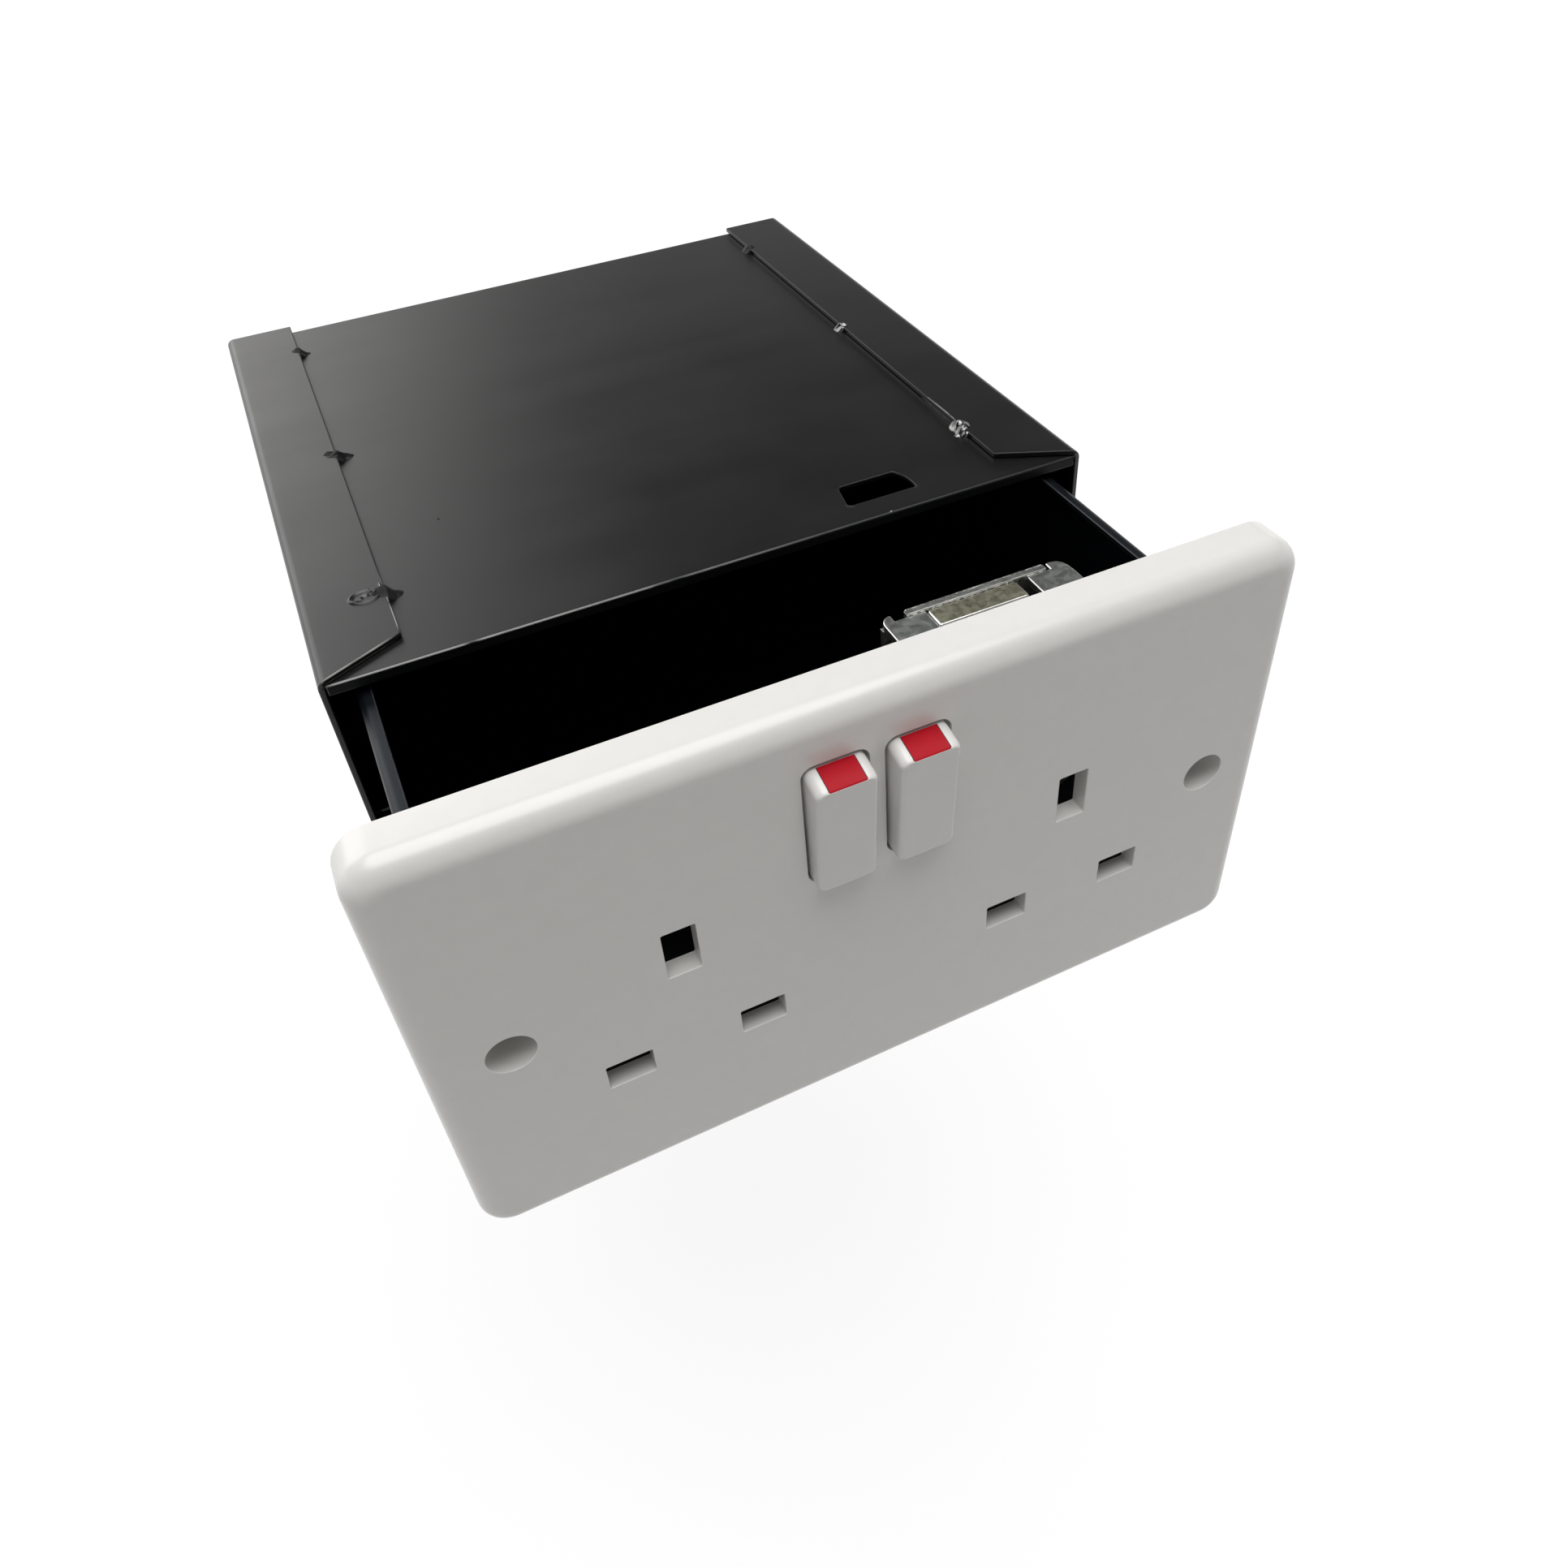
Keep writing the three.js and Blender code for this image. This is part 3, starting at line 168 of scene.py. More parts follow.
def black_paint(name, dark, light, rough=(0.3, 0.36), specular=0.5, tint=(1.0, 1.0, 1.0)):
    """Satin paint with clouds, streaks along X, specks of dust, shallow dents and orange peel."""
    dust_colour, dust_share = (0.035, 0.035, 0.036), 0.25
    dents, peel = 1.6e-4, 6e-6
    tree = Tree(name)
    cloud = tree.noise(38.0, detail=3.0, roughness=0.55)
    streak = tree.noise(26.0, detail=4.0, roughness=0.6, stretch=(0.35, 3.0, 1.0))
    dust = tree.span(tree.noise(900.0), 0.66, 0.8)
    base = tree.mix(cloud, dark, light)
    base = tree.mix(tree.times(dust, dust_share), base, dust_colour)
    smear = tree.times(tree.plus(cloud, streak), 0.5)
    tree.bump((tree.noise(13.0, detail=1.0), dents), (tree.noise(520.0), peel))
    return tree.finish(base, tree.span(smear, 0.3, 0.7, *rough), Specular_IOR_Level=specular,
                       Specular_Tint=with_alpha(tint))


def edge_wear_and_highlight(name, painted=(0.004, 0.0042, 0.0045), bare=(0.3, 0.3, 0.29), chips_as_front_left_highlight=True):
    """An edge with chips in its paint, all along it, or only at the case's front left, where they
    fade to the right and are partly wear and partly a painted highlight.
    """
    painted_rough, bare_rough, grain = 0.45, 0.36, 1.5e-5
    tree = Tree(name)
    chips_and_highlight = tree.span(tree.noise(160.0), 0.3, 0.5)
    if chips_as_front_left_highlight:
        # Fades from left to right, front to rear and bottom to top: a painted highlight along the
        # hem's rounding and the mitred edges
        left = tree.falling(tree.axis(0), -0.045, 0.03)
        front = tree.falling(tree.axis(1), -0.128, -0.112)
        painted_highlight_mask = tree.times(left, front)
        painted_highlight_mask = tree.times(painted_highlight_mask, tree.span(tree.axis(2), 0.0292, 0.0302))
        chips_and_highlight = tree.times(chips_and_highlight, painted_highlight_mask)
    base = tree.mix(chips_and_highlight, painted, bare)
    tree.bump((tree.noise(700.0), grain))
    return tree.finish(base, tree.span(chips_and_highlight, 0.0, 1.0, painted_rough, bare_rough),
                       Specular_IOR_Level=0.45)


def white_plastic(name, base=(0.755, 0.742, 0.718), rough=(0.2, 0.262)):
    """Glossy plastic with faint clouds, a fine grain and slight waves from its mould."""
    waves, grain = 6e-5, 6e-7
    tree = Tree(name)
    cloud = tree.noise(14.0, roughness=0.4)
    colour = tree.mix(cloud, dimmed(base, 0.975), base)
    colour = tree.mix(tree.noise(330.0, detail=3.0, roughness=0.6), dimmed(base, 0.93), colour)
    tree.bump((tree.noise(12.0, detail=1.0), waves), (tree.noise(420.0, detail=1.0), grain))
    return tree.finish(colour, tree.span(tree.noise(45.0), 0.2, 0.8, *rough),
                       Specular_IOR_Level=0.5)


def red_plastic(name):
    dark, light, rough, grain = (0.4, 0.004, 0.012), (0.46, 0.006, 0.017), (0.3, 0.4), 2e-6
    tree = Tree(name)
    cloud = tree.noise(420.0, detail=3.0)
    base = tree.mix(cloud, dark, light)
    tree.bump((tree.noise(900.0), grain))
    return tree.finish(base, tree.span(cloud, 0.3, 0.7, *rough), Specular_IOR_Level=0.1)


def plated_metal(name, light, dark, rough, scratch=1.5e-5, stretch=(1.0, 6.0, 1.0), mottle=230.0):
    """Bare metal with patches and fine scratches, which lie densest along stretch's long axis."""
    patch_depth = 1.6          # of the patches, by the scratches' depth
    tree = Tree(name)
    patch = tree.noise(mottle, detail=4.0, roughness=0.65, distortion=0.6)
    lines = tree.noise(420.0, detail=3.0, roughness=0.6, stretch=stretch)
    base = tree.mix(tree.span(patch, 0.35, 0.65), dark, light)
    tree.bump((patch, scratch * patch_depth), (lines, scratch))
    return tree.finish(base, tree.span(patch, 0.3, 0.7, *rough), metallic=1.0)


CASE_PAINT = black_paint("case_satin_black", (0.0032, 0.0034, 0.0037), (0.0046, 0.0048, 0.0049))
# A darker, bluish copy of the black paint with a blue-tinted reflection: the drawer's paint, with
# painted shade for its place inside the case
DRAWER_PAINT_AND_SHADE = black_paint("drawer_satin_black_and_shade", (0.0016, 0.0022, 0.004), (0.0026, 0.0032, 0.005),
                           rough=(0.36, 0.48), specular=0.28, tint=(0.8, 0.9, 1.0))
# The case's edges: bare chips only at the front left, where they are a painted highlight as well
# as wear
CASE_EDGE = edge_wear_and_highlight("case_edge_wear_and_highlight")
DRAWER_EDGE = edge_wear_and_highlight("drawer_edge", (0.012, 0.014, 0.018), (0.03, 0.033, 0.038),
                        chips_as_front_left_highlight=False)
# Duller black with little reflection for the hem's face: a painted shade for the band under the
# top's front edge
HEM_PAINT_AND_SHADE = black_paint("case_hem_black_and_shade", (0.004, 0.0045, 0.005), (0.006, 0.0065, 0.007),
                        rough=(0.4, 0.5), specular=0.12)
WELD_DARK = black_paint("weld_dull_black", (0.004, 0.004, 0.004), (0.012, 0.012, 0.012),
                        rough=(0.4, 0.55), specular=0.18)
WHITE = white_plastic("plate_white_gloss")
# Near-black copy of the white plastic: painted shade for the pin pockets' walls and floors
POCKET_PAINTED_SHADE = white_plastic("pocket_painted_shade", (0.012, 0.012, 0.013), rough=(0.5, 0.6))
ROCKER_WHITE = white_plastic("rocker_white_gloss", (0.765, 0.752, 0.735), rough=(0.21, 0.265))
RED = red_plastic("marker_red")
# Dark red for the thin strip round each red inlay: painted shade for the groove between the inlay
# and the white
GROOVE_SHADE = black_paint("inlay_groove_painted_shade", (0.03, 0.008, 0.01), (0.05, 0.012, 0.014), rough=(0.6, 0.7))
NICKEL = plated_metal("lock_nickel_plate", (0.52, 0.54, 0.52), (0.42, 0.44, 0.42), (0.3, 0.38),
                      scratch=1.4e-5, stretch=(1.0, 3.0, 1.0), mottle=520.0)
NICKEL_EDGE = plated_metal("lock_nickel_edge", (0.85, 0.85, 0.83), (0.7, 0.7, 0.68), (0.28, 0.36))
ZINC = plated_metal("bolt_olive_zinc", (0.4, 0.395, 0.295), (0.33, 0.325, 0.235), (0.34, 0.44),
                    scratch=1.3e-5, mottle=900.0)
LIP_METAL = plated_metal("lock_lip_mottled", (0.86, 0.86, 0.8), (0.2, 0.2, 0.17), (0.3, 0.45),
                         scratch=5e-5, stretch=(4.0, 1.0, 1.0), mottle=1300.0)
WELD_METAL = plated_metal("weld_bright_metal", (0.2, 0.2, 0.2), (0.1, 0.1, 0.1), (0.15, 0.24),
                          mottle=600.0)
STEEL = plated_metal("cylinder_dark_steel", (0.3, 0.3, 0.31), (0.16, 0.16, 0.17), (0.28, 0.4))
FASTENER = plated_metal("fastener_zinc", (0.62, 0.63, 0.64), (0.45, 0.46, 0.47), (0.28, 0.42))


# Meshes: outlines, and forms that are built from them
def span_of(start, end, count):
    return [start + (end - start) * k / count for k in range(count + 1)]


def quarter(start, count):
    """Angles in radians up to 90 degrees."""
    return [math.radians(v) for v in span_of(start, 90, count)]


def arc(centre, radius, start, end, count):
    """Points on an arc, its angles in degrees."""
    turns = [math.radians(v) for v in span_of(start, end, count)]
    return [(centre[0] + radius * math.cos(a), centre[1] + radius * math.sin(a)) for a in turns]


def round_box(centre, half, corner, count):
    """A rounded rectangle, anticlockwise, with count parts to a corner."""
    x, z = half[0] - corner, half[1] - corner
    points = []
    for index, (sx, sz) in enumerate(((1, 1), (-1, 1), (-1, -1), (1, -1))):
        points += arc((centre[0] + sx * x, centre[1] + sz * z), corner,
                      90 * index, 90 * index + 90, count)
    return points


def circle(centre, radius, count=48):
    return arc(centre, radius, 0, 360, count)[:-1]


def grown(points, by):
    """A convex anticlockwise outline, moved outwards."""
    made = []
    for last, here, following in zip(points[-1:] + points[:-1], points, points[1:] + points[:1]):
        ahead = (Vector(following) - Vector(here)).normalized()
        along = ahead + (Vector(here) - Vector(last)).normalized()
        along.normalize()
        made.append((here[0] + by * along.y, here[1] - by * along.x))
    return made


def lies_within(point, loop):
    inside = False
    x, y = point
    for (x0, y0), (x1, y1) in zip(loop, loop[1:] + loop[:1]):
        if (y0 > y) != (y1 > y) and x < (x1 - x0) * (y - y0) / (y1 - y0) + x0:
            inside = not inside
    return inside


class Form:
    """The points and faces of one mesh, built up ring by ring."""

    def __init__(self):
        self.points, self.faces, self.kinds = [], [], []

    def ring(self, points):
        start = len(self.points)
        self.points += [Vector(p) for p in points]
        return list(range(start, len(self.points)))

    def upright(self, y, outline):
        """A ring at one depth, from an outline in x and z."""
        return self.ring([(x, y, z) for x, z in outline])

    def level(self, z, outline):
        """A ring at one height, from an outline in x and y."""
        return self.ring([(x, y, z) for x, y in outline])

    def face(self, corners, kind=MAIN):
        self.faces.append(tuple(corners))
        self.kinds.append(kind)

    def bridge(self, first, second, kind=MAIN, closed=True):
        count = len(first)
        for i in range(count if closed else count - 1):
            j = (i + 1) % count
            self.face((first[i], first[j], second[j], second[i]), kind)

    def rings(self, rings, kind=MAIN, closed=True):
        for first, second in zip(rings, rings[1:]):
            self.bridge(first, second, kind, closed)

    def skin(self, lines, kind=MAIN):
        """Quads between lines of points that all have as many points."""
        self.rings([self.ring(line) for line in lines], kind, closed=False)

    def prism(self, first, second):
        """A solid between two outlines that match."""
        ends = [self.ring(first), self.ring(second)]
        self.bridge(*ends)
        self.face(ends[0])
        self.face(list(reversed(ends[1])))

    def fill(self, outer, axes, holes=(), kind=MAIN):
        """Fills a flat outline round its holes; axes are the two that it lies in."""
        around = [outer, *holes]
        loops = [[tuple(self.points[i][axis] for axis in axes) for i in loop] for loop in around]
        indices = [i for loop in around for i in loop]
        edges, start = [], 0
        for loop in loops:
            edges += [(start + k, start + (k + 1) % len(loop)) for k in range(len(loop))]
            start += len(loop)
        flat = [Vector(p) for loop in loops for p in loop]
        whole_hull, tolerance = 0, 1e-7
        corners, _, triangles, origins, _, _ = geometry.delaunay_2d_cdt(
            flat, edges, [], whole_hull, tolerance)
        for triangle in triangles:
            centre = sum((corners[k] for k in triangle), Vector((0, 0))) / 3
            if sum(lies_within(centre, loop) for loop in loops) % 2:
                self.face([indices[origins[k][0]] for k in triangle], kind)

    def block(self, low, high):
        corners = self.ring([(x, y, z) for x in (low[0], high[0]) for y in (low[1], high[1])
                             for z in (low[2], high[2])])
        for face in ((0, 1, 3, 2), (4, 6, 7, 5), (0, 4, 5, 1),
                     (2, 3, 7, 6), (0, 2, 6, 4), (1, 5, 7, 3)):
            self.face([corners[i] for i in face])

    def mesh(self, name, inside=None, sharp=38.0):
        """The mesh, its faces turned outwards, or away from the point inside for an open skin."""
        form = bmesh.new()
        corners = [form.verts.new(p * MM) for p in self.points]
        for face, kind in zip(self.faces, self.kinds):
            if len(set(face)) == len(face):
                made = form.faces.new([corners[i] for i in face])
                made.material_index = kind
                made.smooth = True
        loose = [v for v in form.verts if not v.link_faces]
        bmesh.ops.delete(form, geom=loose, context="VERTS")
        bmesh.ops.remove_doubles(form, verts=form.verts, dist=2e-7)
        bmesh.ops.recalc_face_normals(form, faces=form.faces)
        if inside is not None:
            centre = Vector(inside) * MM
            facing = sum(f.normal.dot(f.calc_center_median() - centre) * f.calc_area()
                         for f in form.faces)
            if facing < 0:
                bmesh.ops.reverse_faces(form, faces=form.faces)
        for edge in form.edges:
            if len(edge.link_faces) == 2 and edge.calc_face_angle(0.0) > math.radians(sharp):
                edge.smooth = False
        mesh = bpy.data.meshes.new(name)
        form.to_mesh(mesh)
        form.free()
        return mesh


def add_piece(name, mesh, body, materials, nodes=()):
    piece = bpy.data.objects.new(name, mesh)
    bpy.context.scene.collection.objects.link(piece)
    for material in materials:
        mesh.materials.append(material)
    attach(piece, body)
    if nodes:
        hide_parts(*nodes)
    return piece


def weigh_normals(piece, by_strength=False):
    weighted = piece.modifiers.new("normals", "WEIGHTED_NORMAL")
    weighted.mode = "FACE_AREA"
    weighted.keep_sharp = True
    weighted.use_face_influence = by_strength


def round_edges(piece, width, segments=2, angle=40.0, kind=None, clamp=False):
    """Bevels the edges above an angle; the normals keep the flat faces beside them flat."""
    bevel = piece.modifiers.new("edges", "BEVEL")
    bevel.width = width * MM
    bevel.segments = segments
    bevel.limit_method = "ANGLE"
    bevel.angle_limit = math.radians(angle)
    bevel.use_clamp_overlap = clamp
    bevel.face_strength_mode = "FSTR_AFFECTED"
    if kind is not None:
        bevel.material = kind
    weigh_normals(piece, by_strength=True)


def give_thickness(piece):
    """Gives a skin its sheet's thickness on the inside, with rounded cut edges."""
    solid = piece.modifiers.new("sheet", "SOLIDIFY")
    solid.thickness = SHEET * MM
    solid.offset = -1.0
    solid.use_even_offset = True
    solid.use_quality_normals = True
    round_edges(piece, 0.22, angle=50.0, kind=EDGE)


def folded_outline(half, top, base, bend, tip, flange_parts, side_parts, floor_parts):
    """A channel seen from the front: flanges that reach in to tip, two sides and a floor."""
    outline = [(-x, top) for x in span_of(tip, half - bend, flange_parts)][:-1]
    outline += arc((bend - half, top - bend), bend, 90, 180, BEND_PARTS)
    outline += [(-half, z) for z in span_of(top - bend, base + bend, side_parts)][1:-1]
    outline += arc((bend - half, base + bend), bend, 180, 270, BEND_PARTS)
    outline += [(x, base) for x in span_of(bend - half, half - bend, floor_parts)][1:-1]
    outline += arc((half - bend, base + bend), bend, 270, 360, BEND_PARTS)
    outline += [(half, z) for z in span_of(base + bend, top - bend, side_parts)][1:-1]
    outline += arc((half - bend, top - bend), bend, 0, 90, BEND_PARTS)
    outline += [(x, top) for x in span_of(half - bend, tip, flange_parts)][1:]
    return outline


# Case sheet: floor, sides and the two flanges with their mitred fronts
def case_wrap():
    top, mitre_start, mitre_slope = 32.0, 69.2, 6.8 / 13.7
    lines = []
    for x, z in folded_outline(half=70.0, top=top, base=-32.0, bend=1.6, tip=55.5,
                               flange_parts=9, side_parts=12, floor_parts=24):
        inwards = max(0.0, mitre_start - abs(x)) if z > top - SHEET else 0.0
        front = CASE_FRONT + mitre_slope * inwards
        lines.append([(x, y, z) for y in span_of(front, 0.0, 44)])
    form = Form()
    form.skin(lines)
    piece = add_piece("case_wrap_sheet", form.mesh("case_wrap_sheet", inside=(0, -70, 0)), "case",
                      [CASE_PAINT, CASE_EDGE], ["case_wrap"])
    give_thickness(piece)


# Case top and back: one sheet, hemmed down in front, with the bolt's slot and the fixing holes
def slot_outline():
    """The bolt's slot: its left side leans in towards the rear and its right side bows out."""
    front, rear, large, small = -134.3, -127.7, 0.8, 0.7
    points = arc((25.5, front + large), large, 180, 270, 6)
    points += arc((37.75, front + small), small, 270, 360, 6)
    start, middle = Vector((38.45, front + 1.0)), Vector((38.6, -130.4))
    end = Vector((37.3, rear - 0.75))
    for t in span_of(0.12, 1.0, 6):
        points.append(tuple(start * (1 - t) ** 2 + middle * 2 * t * (1 - t) + end * t * t))
    points += arc((36.55, rear - small), small, 25, 90, 5)
    points += arc((26.3, rear - small), small, 90, 172, 5)
    return points


def case_top_back():
    half, top, base, bend = 68.8, 30.9, -30.9, 1.6
    hem_low, hem_bend = 28.9, 0.45
    fixing_holes, fixing_radius, margin = (48.0, 17.0), 3.2, 1.0
    xs = span_of(-half, half, 24)
    front = [(CASE_FRONT, z) for z in span_of(hem_low, top - hem_bend, 2)]
    front += arc((hem_bend + CASE_FRONT, top - hem_bend), hem_bend, 180, 90, 7)[1:]
    rear = arc((-bend, top - bend), bend, 90, 0, BEND_PARTS)
    form = Form()
    # The hem takes the dull paint that stands in for its shade; the rounding above it takes the
    # edge paint with its painted highlight
    hem, rounded, flat = front[:5], front[4:8], front[7:]
    for profile, kind in ((hem, THIRD), (rounded, EDGE), (flat, MAIN), (rear, MAIN)):
        form.skin([[(x, y, z) for x in xs] for y, z in profile], kind)

    # The flat faces; a ring of quads round each hole keeps its edge's shading off them
    top_front = form.level(top, [(x, front[-1][0]) for x in xs])
    top_rear = form.level(top, [(x, rear[0][0]) for x in reversed(xs)])
    slot, around = (form.level(top, grown(slot_outline(), by)) for by in (0.0, margin))
    form.bridge(slot, around)
    form.fill(top_front + top_rear, FROM_ABOVE, [around])
    back_top = form.upright(0.0, [(x, top - bend) for x in xs])
    corner_right = form.upright(0.0, arc((half - bend, base + bend), bend, 0, -90, 5))
    corner_left = form.upright(0.0, arc((bend - half, base + bend), bend, 270, 180, 5))
    arounds = []
    for x in (-fixing_holes[0], fixing_holes[0]):
        for z in (-fixing_holes[1], fixing_holes[1]):
            hole, around = (form.upright(0.0, circle((x, z), fixing_radius + by))
                            for by in (0.0, margin))
            form.bridge(hole, around)
            arounds.append(around)
    form.fill(back_top + corner_right + corner_left, FROM_FRONT, arounds)
    piece = add_piece("case_top_back_sheet",
                      form.mesh("case_top_back_sheet", inside=(0, -70, 0)), "case",
                      [CASE_PAINT, CASE_EDGE, HEM_PAINT_AND_SHADE], ["case_top_back"])
    give_thickness(piece)


# Drawer tray: floor, sides, folded rims and the two stop tabs
def drawer_tray():
    top, rim = 27.5, 62.5
    outline = folded_outline(half=65.0, top=top, base=-30.7, bend=1.4, tip=rim,
                             flange_parts=2, side_parts=8, floor_parts=16)
    form = Form()
    form.skin([[(x, y, z) for y in span_of(TRAY_FRONT, TRAY_REAR, 24)] for x, z in outline])
    piece = add_piece("drawer_tray_sheet", form.mesh("drawer_tray_sheet", inside=(0, -120, 0)),
                      "drawer", [DRAWER_PAINT_AND_SHADE, DRAWER_EDGE], ["drawer_tray"])
    give_thickness(piece)
    tab_front, tab_length, tab_sink, tab_rise = TRAY_FRONT + 109.1, 8.0, 0.9, 2.0
    for name, low, high in (("left", -rim - SHEET, -rim), ("right", rim, rim + SHEET)):
        tab = Form()
        tab.block((low, tab_front, top - tab_sink), (high, tab_front + tab_length, top + tab_rise))
        piece = add_piece("stop_tab_" + name, tab.mesh("stop_tab_" + name), "drawer",
                          [DRAWER_PAINT_AND_SHADE])
        round_edges(piece, 0.2)


# Faceplate: a moulding with a rounded front, holes with softened rims, and wells behind
def box_shape(centre, half, corner, count=4):
    """A function that gives a rounded rectangle, grown by what it is called with."""
    least_corner = 0.04
    return lambda grow: round_box(centre, (half[0] + grow, half[1] + grow),
                                  max(least_corner, corner + grow), count)


def circle_shape(centre, radius):
    return lambda grow: circle(centre, radius + grow)


def faceplate():
    half_width, half_height, corner, least_corner, crown = 73.0, 43.0, 5.5, 0.05, 4.0
    soft, soft_middle = 0.3, 0.09      # a small rounding's size, and its middle's distance
    form = Form()
    front_holes, rear_holes = [], []

    def outline(inset, depth, own_corner=None):
        radius = max(least_corner, corner - inset) if own_corner is None else own_corner
        half = (half_width - inset, half_height - inset)
        return form.upright(PLATE_Y + depth, round_box((0, 0), half, radius, 8))

    def rim_rings(shape, rim):
        return [form.upright(PLATE_Y + rim * (1 - math.cos(a)), shape(rim * (1 - math.sin(a))))
                for a in quarter(0, 4)]

    def through_hole(shape, rim):
        made = rim_rings(shape, rim) + [form.upright(PLATE_Y + PLATE_WALL, shape(0.0))]
        form.rings(made)
        front_holes.append(made[0])
        rear_holes.append(made[-1])

    def blind_hole(shape, rim, depth, painted_shade_behind_wall):
        """A hole with a floor, whose walls and floor may be painted near black from the front
        wall's back on, as painted shade in its depths.
        """
        made = rim_rings(shape, rim)
        front_holes.append(made[0])
        kind = EDGE if painted_shade_behind_wall else MAIN
        if painted_shade_behind_wall:
            made.append(form.upright(PLATE_Y + PLATE_WALL, shape(0.0)))
        form.rings(made)
        floor_y = PLATE_Y + depth
        rest = made[-1:]
        for y, grow in ((floor_y - soft, 0.0), (floor_y - soft_middle, -soft_middle),
                        (floor_y, -soft)):
            rest.append(form.upright(y, shape(grow)))
        form.fill(rest[-1], FROM_FRONT, kind=kind)
        form.rings(rest, kind)

    def behind(profile, shape):
        """A well or boss on the front wall's back, from its (depth, size) profile."""
        made = [form.upright(PLATE_Y + depth, shape(size)) for depth, size in profile]
        form.rings(made)
        form.fill(made[-1], FROM_FRONT)
        rear_holes.append(made[0])

    rings = [outline(crown * (1 - math.sin(a)), crown * (1 - math.cos(a)))
             for a in quarter(0, 12)]
    for inset, depth, own_corner in (        # down the side, round the rear rim and up inside
            (0.0, 8.7, None), (0.09, 8.91, None), (0.3, 9.0, None), (2.2, 9.0, 3.3),
            (2.41, 8.91, 3.1), (2.5, 8.7, 3.0), (2.5, PLATE_WALL, 3.0)):
        rings.append(outline(inset, depth, own_corner))
    form.rings(rings)

    rocker_z, rocker_half, rocker_corner = 22.55, (5.3, 11.7), 2.0
    for x in ROCKER_X.values():
        through_hole(box_shape((x, rocker_z), rocker_half, rocker_corner, 6), rim=0.14)
    for x in (-33.4, 33.4):                        # earth holes
        through_hole(box_shape((x, 7.35), (2.65, 4.85), 0.3), rim=0.22)
    pin_z = -14.9
    for x in (-44.5, -22.3, 22.3, 44.5):           # pin pockets, each in a well
        # Behind the front wall each pin pocket is painted near black, a painted shade
        blind_hole(box_shape((x, pin_z), (3.75, 2.65), 0.3), rim=0.2, depth=6.6,
                   painted_shade_behind_wall=True)
        behind(((PLATE_WALL, 0.0), (7.5, 0.0), (7.8, -0.3)),
               box_shape((x, pin_z), (4.95, 3.85), 0.5))
    for x in (-60.3, 60.3):                        # screw recesses, each in a well
        blind_hole(circle_shape((x, 0.0), 3.75), rim=0.2, depth=6.5, painted_shade_behind_wall=False)
        behind(((PLATE_WALL, 5.7), (7.4, 5.7), (7.7, 5.4)),
               lambda radius, x=x: circle((x, 0.0), radius))
        for z in (-20.5, 20.5):                    # bosses for the screws from behind
            place = (math.copysign(56.0, x), z)
            behind(((PLATE_WALL, 3.0), (8.8, 3.0), (9.0, 2.8), (9.0, 1.75), (8.85, 1.6),
                    (4.4, 1.6)), lambda radius, place=place: circle(place, radius, 24))
    form.fill(rings[0], FROM_FRONT, front_holes)
    form.fill(rings[-1], FROM_FRONT, rear_holes)
    for low, high in ((-14.4, -12.8), (-2.2, 0.2), (10.8, 12.4)):    # cheeks for the pivots
        form.block((low, PLATE_Y + 2.9, 19.1), (high, PLATE_Y + 6.0, 25.1))
    piece = add_piece("faceplate_moulding", form.mesh("faceplate_moulding"), "drawer",
                      [WHITE, POCKET_PAINTED_SHADE], ["faceplate"])
    weigh_normals(piece)


